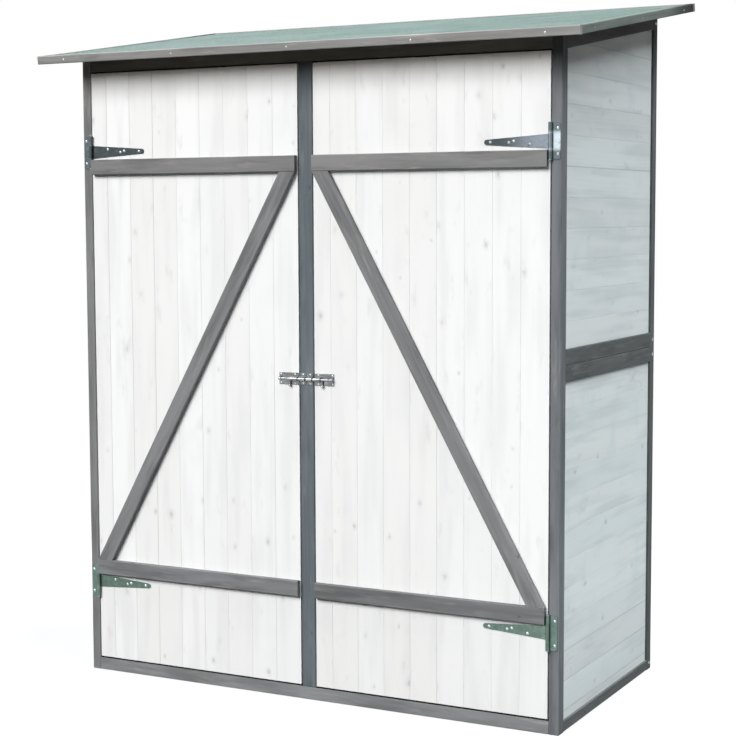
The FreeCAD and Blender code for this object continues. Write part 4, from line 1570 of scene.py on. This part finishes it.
class ScrewMaker:
    """Makes screws whose heads have a real cross recess."""

    segments: int = 28
    dome_rings: int = 5
    point_length: float = 0.003
    arm_reach: float = 0.66
    arm_width: float = 0.26
    recess_depth: float = 0.8
    recess_taper: float = 0.55
    cutter_height: float = 2.0
    shapes: dict[tuple[int, ...], bpy.types.Mesh] = {}

    @classmethod
    def body(cls, place: ScrewPlace) -> bmesh.types.BMesh:
        """The screw without its recess, its head up and its seat at the origin.

        Args:
            place: the screw's sizes.

        Returns:
            A closed mesh.
        """
        radius, height = place.head_radius, place.head_height
        dome = (radius**2 + height**2) / (2 * height)
        spread = math.asin(radius / dome)
        profile = []
        for ring in range(1, cls.dome_rings + 1):
            angle = spread * ring / cls.dome_rings
            profile.append((dome * math.sin(angle), height - dome + dome * math.cos(angle)))
        profile.append((place.shank_radius, 0.0))
        profile.append((place.shank_radius, cls.point_length - place.length))
        made = bmesh.new()
        crown = made.verts.new((0.0, 0.0, height))
        tip = made.verts.new((0.0, 0.0, -place.length))
        rings = []
        for reach, level in profile:
            ring = []
            for step in range(cls.segments):
                turn = 2 * math.pi * step / cls.segments
                ring.append(made.verts.new((reach * math.cos(turn), reach * math.sin(turn), level)))
            rings.append(ring)
        for step in range(cls.segments):
            after = (step + 1) % cls.segments
            made.faces.new((crown, rings[0][step], rings[0][after]))
            made.faces.new((tip, rings[-1][after], rings[-1][step]))
            for upper, lower in zip(rings, rings[1:]):
                made.faces.new((upper[step], lower[step], lower[after], upper[after]))
        return made

    @classmethod
    def cutter(cls, place: ScrewPlace) -> bmesh.types.BMesh:
        """The driver's cross, from above the head down to the bottom of the recess.

        Args:
            place: the screw's sizes.

        Returns:
            A closed mesh.
        """
        reach = cls.arm_reach * place.head_radius
        half = cls.arm_width * place.head_radius / 2
        quarter = [(reach, -half), (reach, half), (half, half)]
        outline = []
        for turn in range(4):
            for x, y in quarter:
                for _ in range(turn):
                    x, y = -y, x
                outline.append((x, y))
        top = cls.cutter_height * place.head_height
        bottom = place.head_height * (1.0 - cls.recess_depth)
        made = bmesh.new()
        upper = [made.verts.new((x, y, top)) for x, y in outline]
        lower = [made.verts.new((x * cls.recess_taper, y * cls.recess_taper, bottom)) for x, y in outline]
        made.faces.new(upper)
        made.faces.new(list(reversed(lower)))
        for step in range(len(outline)):
            after = (step + 1) % len(outline)
            made.faces.new((upper[after], upper[step], lower[step], lower[after]))
        bmesh.ops.recalc_face_normals(made, faces=made.faces)
        return made

    @classmethod
    def shape(cls, place: ScrewPlace) -> bpy.types.Mesh:
        """The finished shape for a size of screw, cut once and kept.

        Args:
            place: the screw's sizes.

        Returns:
            The mesh, with its seat at the origin and its head towards +Z.
        """
        key = tuple(round(size * 1e5) for size in (place.head_radius, place.head_height, place.length))
        if key in cls.shapes:
            return cls.shapes[key]
        parts = []
        for source, name in ((cls.body(place), "screw_blank"), (cls.cutter(place), "screw_cutter")):
            bmesh.ops.recalc_face_normals(source, faces=source.faces)
            mesh = bpy.data.meshes.new(name)
            source.to_mesh(mesh)
            source.free()
            parts.append(stand(name, mesh))
        blank, cross = parts
        cut = blank.modifiers.new("recess", "BOOLEAN")
        cut.operation = "DIFFERENCE"
        cut.solver = "EXACT"
        cut.object = cross
        bpy.context.view_layer.update()
        graph = bpy.context.evaluated_depsgraph_get()
        mesh = bpy.data.meshes.new_from_object(blank.evaluated_get(graph))
        for part in parts:
            bpy.data.objects.remove(part)
        cls.shapes[key] = mesh
        return mesh


@dataclass(frozen=True)
class ScrewSet:
    """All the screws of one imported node, made again with their recesses."""

    node: str
    body: str
    name: str
    finish: ZincPlate = ZincPlate(colour=(0.46, 0.49, 0.51), dull=(0.16, 0.18, 0.19), roughness=0.26)
    weld_distance: float = 1e-5
    end_zone: float = 0.002
    sharp_angle: float = 32.0

    def islands(self) -> list[list[Vector]]:
        """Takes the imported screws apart.

        Returns:
            Each screw's points, in the order of the screws' middles.
        """
        work = bmesh.new()
        work.from_mesh(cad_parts[self.node].data)
        bmesh.ops.remove_doubles(work, verts=work.verts, dist=self.weld_distance)
        waiting = set(work.verts)
        found = []
        while waiting:
            front = [waiting.pop()]
            points = []
            while front:
                vertex = front.pop()
                points.append(vertex.co.copy())
                for edge in vertex.link_edges:
                    other = edge.other_vert(vertex)
                    if other in waiting:
                        waiting.remove(other)
                        front.append(other)
            found.append(points)
        work.free()

        def middle(points: list[Vector]) -> Number3:
            """The mean of a screw's points, rounded so that the order stays the same."""
            return tuple(round(value, 5) for value in sum(points, Vector()) / len(points))

        return sorted(found, key=middle)

    def measure(self, points: list[Vector]) -> ScrewPlace:
        """Reads one screw's place and sizes from its points.

        Args:
            points: the screw's points.

        Returns:
            Its place and sizes.
        """
        low = Vector([min(point[axis] for point in points) for axis in range(3)])
        high = Vector([max(point[axis] for point in points) for axis in range(3)])
        spans = high - low
        axis = max(range(3), key=lambda item: spans[item])
        middle = (low + high) / 2

        def reach(point: Vector) -> float:
            """How far a point is from the screw's own line."""
            gap = point - middle
            gap[axis] = 0.0
            return gap.length

        low_end = max(reach(point) for point in points if point[axis] < low[axis] + self.end_zone)
        high_end = max(reach(point) for point in points if point[axis] > high[axis] - self.end_zone)
        outward = Vector((0.0, 0.0, 0.0))
        outward[axis] = -1.0 if low_end > high_end else 1.0
        crown = low[axis] if low_end > high_end else high[axis]
        head_radius = max(reach(point) for point in points)
        rims = [point[axis] for point in points if reach(point) > head_radius - self.weld_distance]
        seat = middle.copy()
        seat[axis] = sum(rims) / len(rims)
        shank = [reach(point) for point in points if reach(point) > self.weld_distance]
        return ScrewPlace(
            seat=seat,
            outward=outward,
            head_radius=head_radius,
            head_height=abs(crown - seat[axis]),
            shank_radius=min(shank),
            length=spans[axis] - abs(crown - seat[axis]),
        )

    def build(self) -> bpy.types.Object:
        """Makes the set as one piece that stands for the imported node.

        Returns:
            The new piece.
        """
        turns = random.Random(self.node)
        work = bmesh.new()
        for points in self.islands():
            place = self.measure(points)
            start = len(work.verts)
            work.from_mesh(ScrewMaker.shape(place))
            work.verts.ensure_lookup_table()
            lean = Vector((0.0, 0.0, 1.0)).rotation_difference(place.outward)
            spin = Quaternion((0.0, 0.0, 1.0), turns.uniform(0.0, math.pi / 2))
            move = Matrix.Translation(place.seat) @ (lean @ spin).to_matrix().to_4x4()
            bmesh.ops.transform(work, matrix=move, verts=work.verts[start:])
        mesh = bpy.data.meshes.new(self.name)
        work.to_mesh(mesh)
        work.free()
        for face in mesh.polygons:
            face.use_smooth = True
        mesh.set_sharp_from_angle(angle=math.radians(self.sharp_angle))
        mesh.materials.append(self.finish.material(self.name))
        piece = stand(self.name, mesh)
        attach(piece, self.body)
        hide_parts(self.node)
        LOG.info("%s: %d points, for %s", self.name, len(mesh.vertices), self.node)
        return piece


# Studio


@dataclass(frozen=True)
class Lamp:
    """One large soft lamp that looks at the middle of the cabinet."""

    name: str
    azimuth: float
    elevation: float
    distance: float
    width: float
    height: float
    level: float
    colour: Colour

    def build(self, aim: Vector) -> bpy.types.Object:
        """Hangs the lamp.

        Args:
            aim: the point that it looks at.

        Returns:
            The lamp.
        """
        turn, rise = math.radians(self.azimuth), math.radians(self.elevation)
        way = Vector(
            (math.sin(turn) * math.cos(rise), -math.cos(turn) * math.cos(rise), math.sin(rise))
        )
        data = bpy.data.lights.new(self.name, "AREA")
        data.shape = "RECTANGLE"
        data.size = self.width
        data.size_y = self.height
        data.energy = self.level * (math.pi * self.distance) ** 2
        data.color = self.colour
        lamp = stand(self.name, data)
        lamp.location = aim + way * self.distance
        lamp.rotation_mode = "QUATERNION"
        lamp.rotation_quaternion = way.to_track_quat("Z", "Y")
        return lamp


@dataclass(frozen=True)
class Studio:
    """A pale floor, a white surround and soft lamps."""

    aim: Number3 = (0.0, 0.0, 0.78)
    floor_side: float = 60.0
    floor_drop: float = 0.0006
    floor_colour: Colour = (0.90, 0.905, 0.91)
    floor_bounce: Colour = (0.035, 0.035, 0.034)
    side_bounce: Colour = (0.25, 0.265, 0.27)
    card_start: Ramp = Ramp(0.65, 0.75)
    card_end: Ramp = Ramp(2.0, 2.3, 1.0, 0.0)
    floor_glow: Ramp = Ramp(1.3, 2.6, 0.55, 1.0)
    floor_roughness: float = 0.9
    surround: Colour = (0.93, 0.98, 1.03)
    sky_level: Ramp = Ramp(0.15, 1.0, 0.03, 0.17)
    white: Colour = (1.0, 1.0, 1.0)
    lamps: tuple[Lamp, ...] = (
        Lamp("front_lamp", -16.0, 34.0, 24.0, 18.0, 13.5, 1.33, (1.0, 1.0, 1.0)),
        Lamp("side_lamp", 100.0, 61.0, 23.0, 14.0, 17.0, 1.32, (0.93, 0.995, 1.01)),
        Lamp("back_lamp", 225.0, 12.0, 12.0, 8.0, 8.0, 0.72, (0.98, 0.99, 1.0)),
    )

    @staticmethod
    def seen(wiring: Wiring) -> Socket:
        """Tells the rays that show a thing from those that only carry its light.

        Args:
            wiring: the tree that asks.

        Returns:
            1 for a ray from the camera or off a mirror or through glass, and 0 for the rest.
        """
        path = wiring.node("ShaderNodeLightPath")
        seen = wiring.math("MAXIMUM", path.outputs["Is Camera Ray"], path.outputs["Is Glossy Ray"])
        return wiring.math("MAXIMUM", seen, path.outputs["Is Transmission Ray"])

    def floor_material(self) -> bpy.types.Material:
        """Makes the floor's material, white where it is far and dark where it only throws light.

        Returns:
            The material.
        """
        floor = Surface("studio_floor", self.floor_bounce)
        seen = self.seen(floor)
        place = floor.here()
        side, _, _ = floor.parts(place)
        card = floor.math("MULTIPLY", self.card_start.of(floor, side), self.card_end.of(floor, side))
        floor.coat(card, self.side_bounce)
        floor.coat(seen, self.floor_colour)
        shading = {
            "Base Color": floor.colour,
            "Roughness": self.floor_roughness,
            "Specular IOR Level": 0.0,
        }
        for name, value in shading.items():
            floor.feed(floor.shader.inputs[name], value)
        glow = floor.node("ShaderNodeEmission", self.white, 1.0)
        share = self.floor_glow.of(floor, floor.vector("LENGTH", place))
        share = floor.math("MULTIPLY", seen, share)
        blend = floor.node("ShaderNodeMixShader", share, floor.shader.outputs[0], glow.outputs[0])
        floor.feed(floor.tree.nodes["Material Output"].inputs["Surface"], blend.outputs[0])
        return floor.material

    def floor(self) -> bpy.types.Object:
        """Lays the floor.

        Returns:
            The floor, which isn't part of the cabinet.
        """
        half = self.floor_side / 2
        corners = [(-half, -half), (half, -half), (half, half), (-half, half)]
        mesh = bpy.data.meshes.new("studio_floor")
        mesh.from_pydata([(x, y, -self.floor_drop) for x, y in corners], [], [(0, 1, 2, 3)])
        mesh.materials.append(self.floor_material())
        floor = stand("studio_floor", mesh)
        return floor

    def sky(self) -> bpy.types.World:
        """Makes the surround: white where it is seen, and otherwise soft light from overhead.

        Returns:
            The surround.
        """
        world = bpy.data.worlds.new("studio_surround")
        world.use_nodes = True
        bpy.context.scene.world = world
        wiring = Wiring(world.node_tree)
        background = world.node_tree.nodes["Background"]
        seen = self.seen(wiring)
        wiring.feed(background.inputs["Color"], wiring.mixed(seen, self.surround, self.white))
        _, _, height = wiring.parts(wiring.node("ShaderNodeTexCoord").outputs["Generated"])
        level = wiring.math("MAXIMUM", self.sky_level.of(wiring, height), seen)
        wiring.feed(background.inputs["Strength"], level)
        return world

    def build(self) -> None:
        """Sets up the whole studio."""
        self.floor()
        self.sky()
        for lamp in self.lamps:
            lamp.build(Vector(self.aim))
        LOG.info("studio: floor, surround and %d lamps", len(self.lamps))


@dataclass(frozen=True)
class Camera:
    """The camera, at the photograph's place and angle."""

    place: Number3 = (1.88578, -3.60886, 1.10406)
    yaw: float = 0.48232
    pitch: float = -0.09010
    roll: float = -0.00389
    focal_pixels: float = 1698.82
    clip: tuple[float, float] = (0.05, 200.0)

    def build(self) -> bpy.types.Object:
        """Sets up the camera and makes it the scene's own.

        Returns:
            The camera.
        """
        right = Vector((math.cos(self.yaw), math.sin(self.yaw), 0.0))
        ahead = Vector(
            (
                -math.sin(self.yaw) * math.cos(self.pitch),
                math.cos(self.yaw) * math.cos(self.pitch),
                math.sin(self.pitch),
            )
        )
        up = right.cross(ahead)
        rolled_right = right * math.cos(self.roll) + up * math.sin(self.roll)
        rolled_up = up * math.cos(self.roll) - right * math.sin(self.roll)
        turn = Matrix((rolled_right, rolled_up, -ahead)).transposed()
        data = bpy.data.cameras.new("photo_camera")
        data.sensor_width = SENSOR_WIDTH
        data.lens = self.focal_pixels / IMAGE_SIDE * SENSOR_WIDTH
        data.clip_start, data.clip_end = self.clip
        camera = stand("photo_camera", data)
        camera.location = self.place
        camera.rotation_mode = "QUATERNION"
        camera.rotation_quaternion = turn.to_quaternion()
        bpy.context.scene.camera = camera
        return camera


def screw_sets() -> Iterable[ScrewSet]:
    """Every set of screws on the cabinet."""
    yield ScrewSet("body_screws", "cabinet", "post_hardware_screws")
    yield ScrewSet("panel_screws", "cabinet", "back_stile_screws")
    yield ScrewSet("right_door_screws", "right_door", "right_door_screw_set")
    yield ScrewSet("left_door_screws", "left_door", "left_door_screw_set")


def main() -> None:
    """Builds and dresses the cabinet, then the studio round it."""
    bpy.context.scene.view_settings.view_transform = "Standard"
    Camera().build()
    FrontFrame().dress()
    WallPanels().dress()
    RightDoor().dress()
    Door(hand=Hand.LEFT).dress()
    PostHardware().dress()
    Roof().dress()
    Inside().dress()
    for screws in screw_sets():
        screws.build()
    Studio().build()


if __name__ == "__main__":
    main()
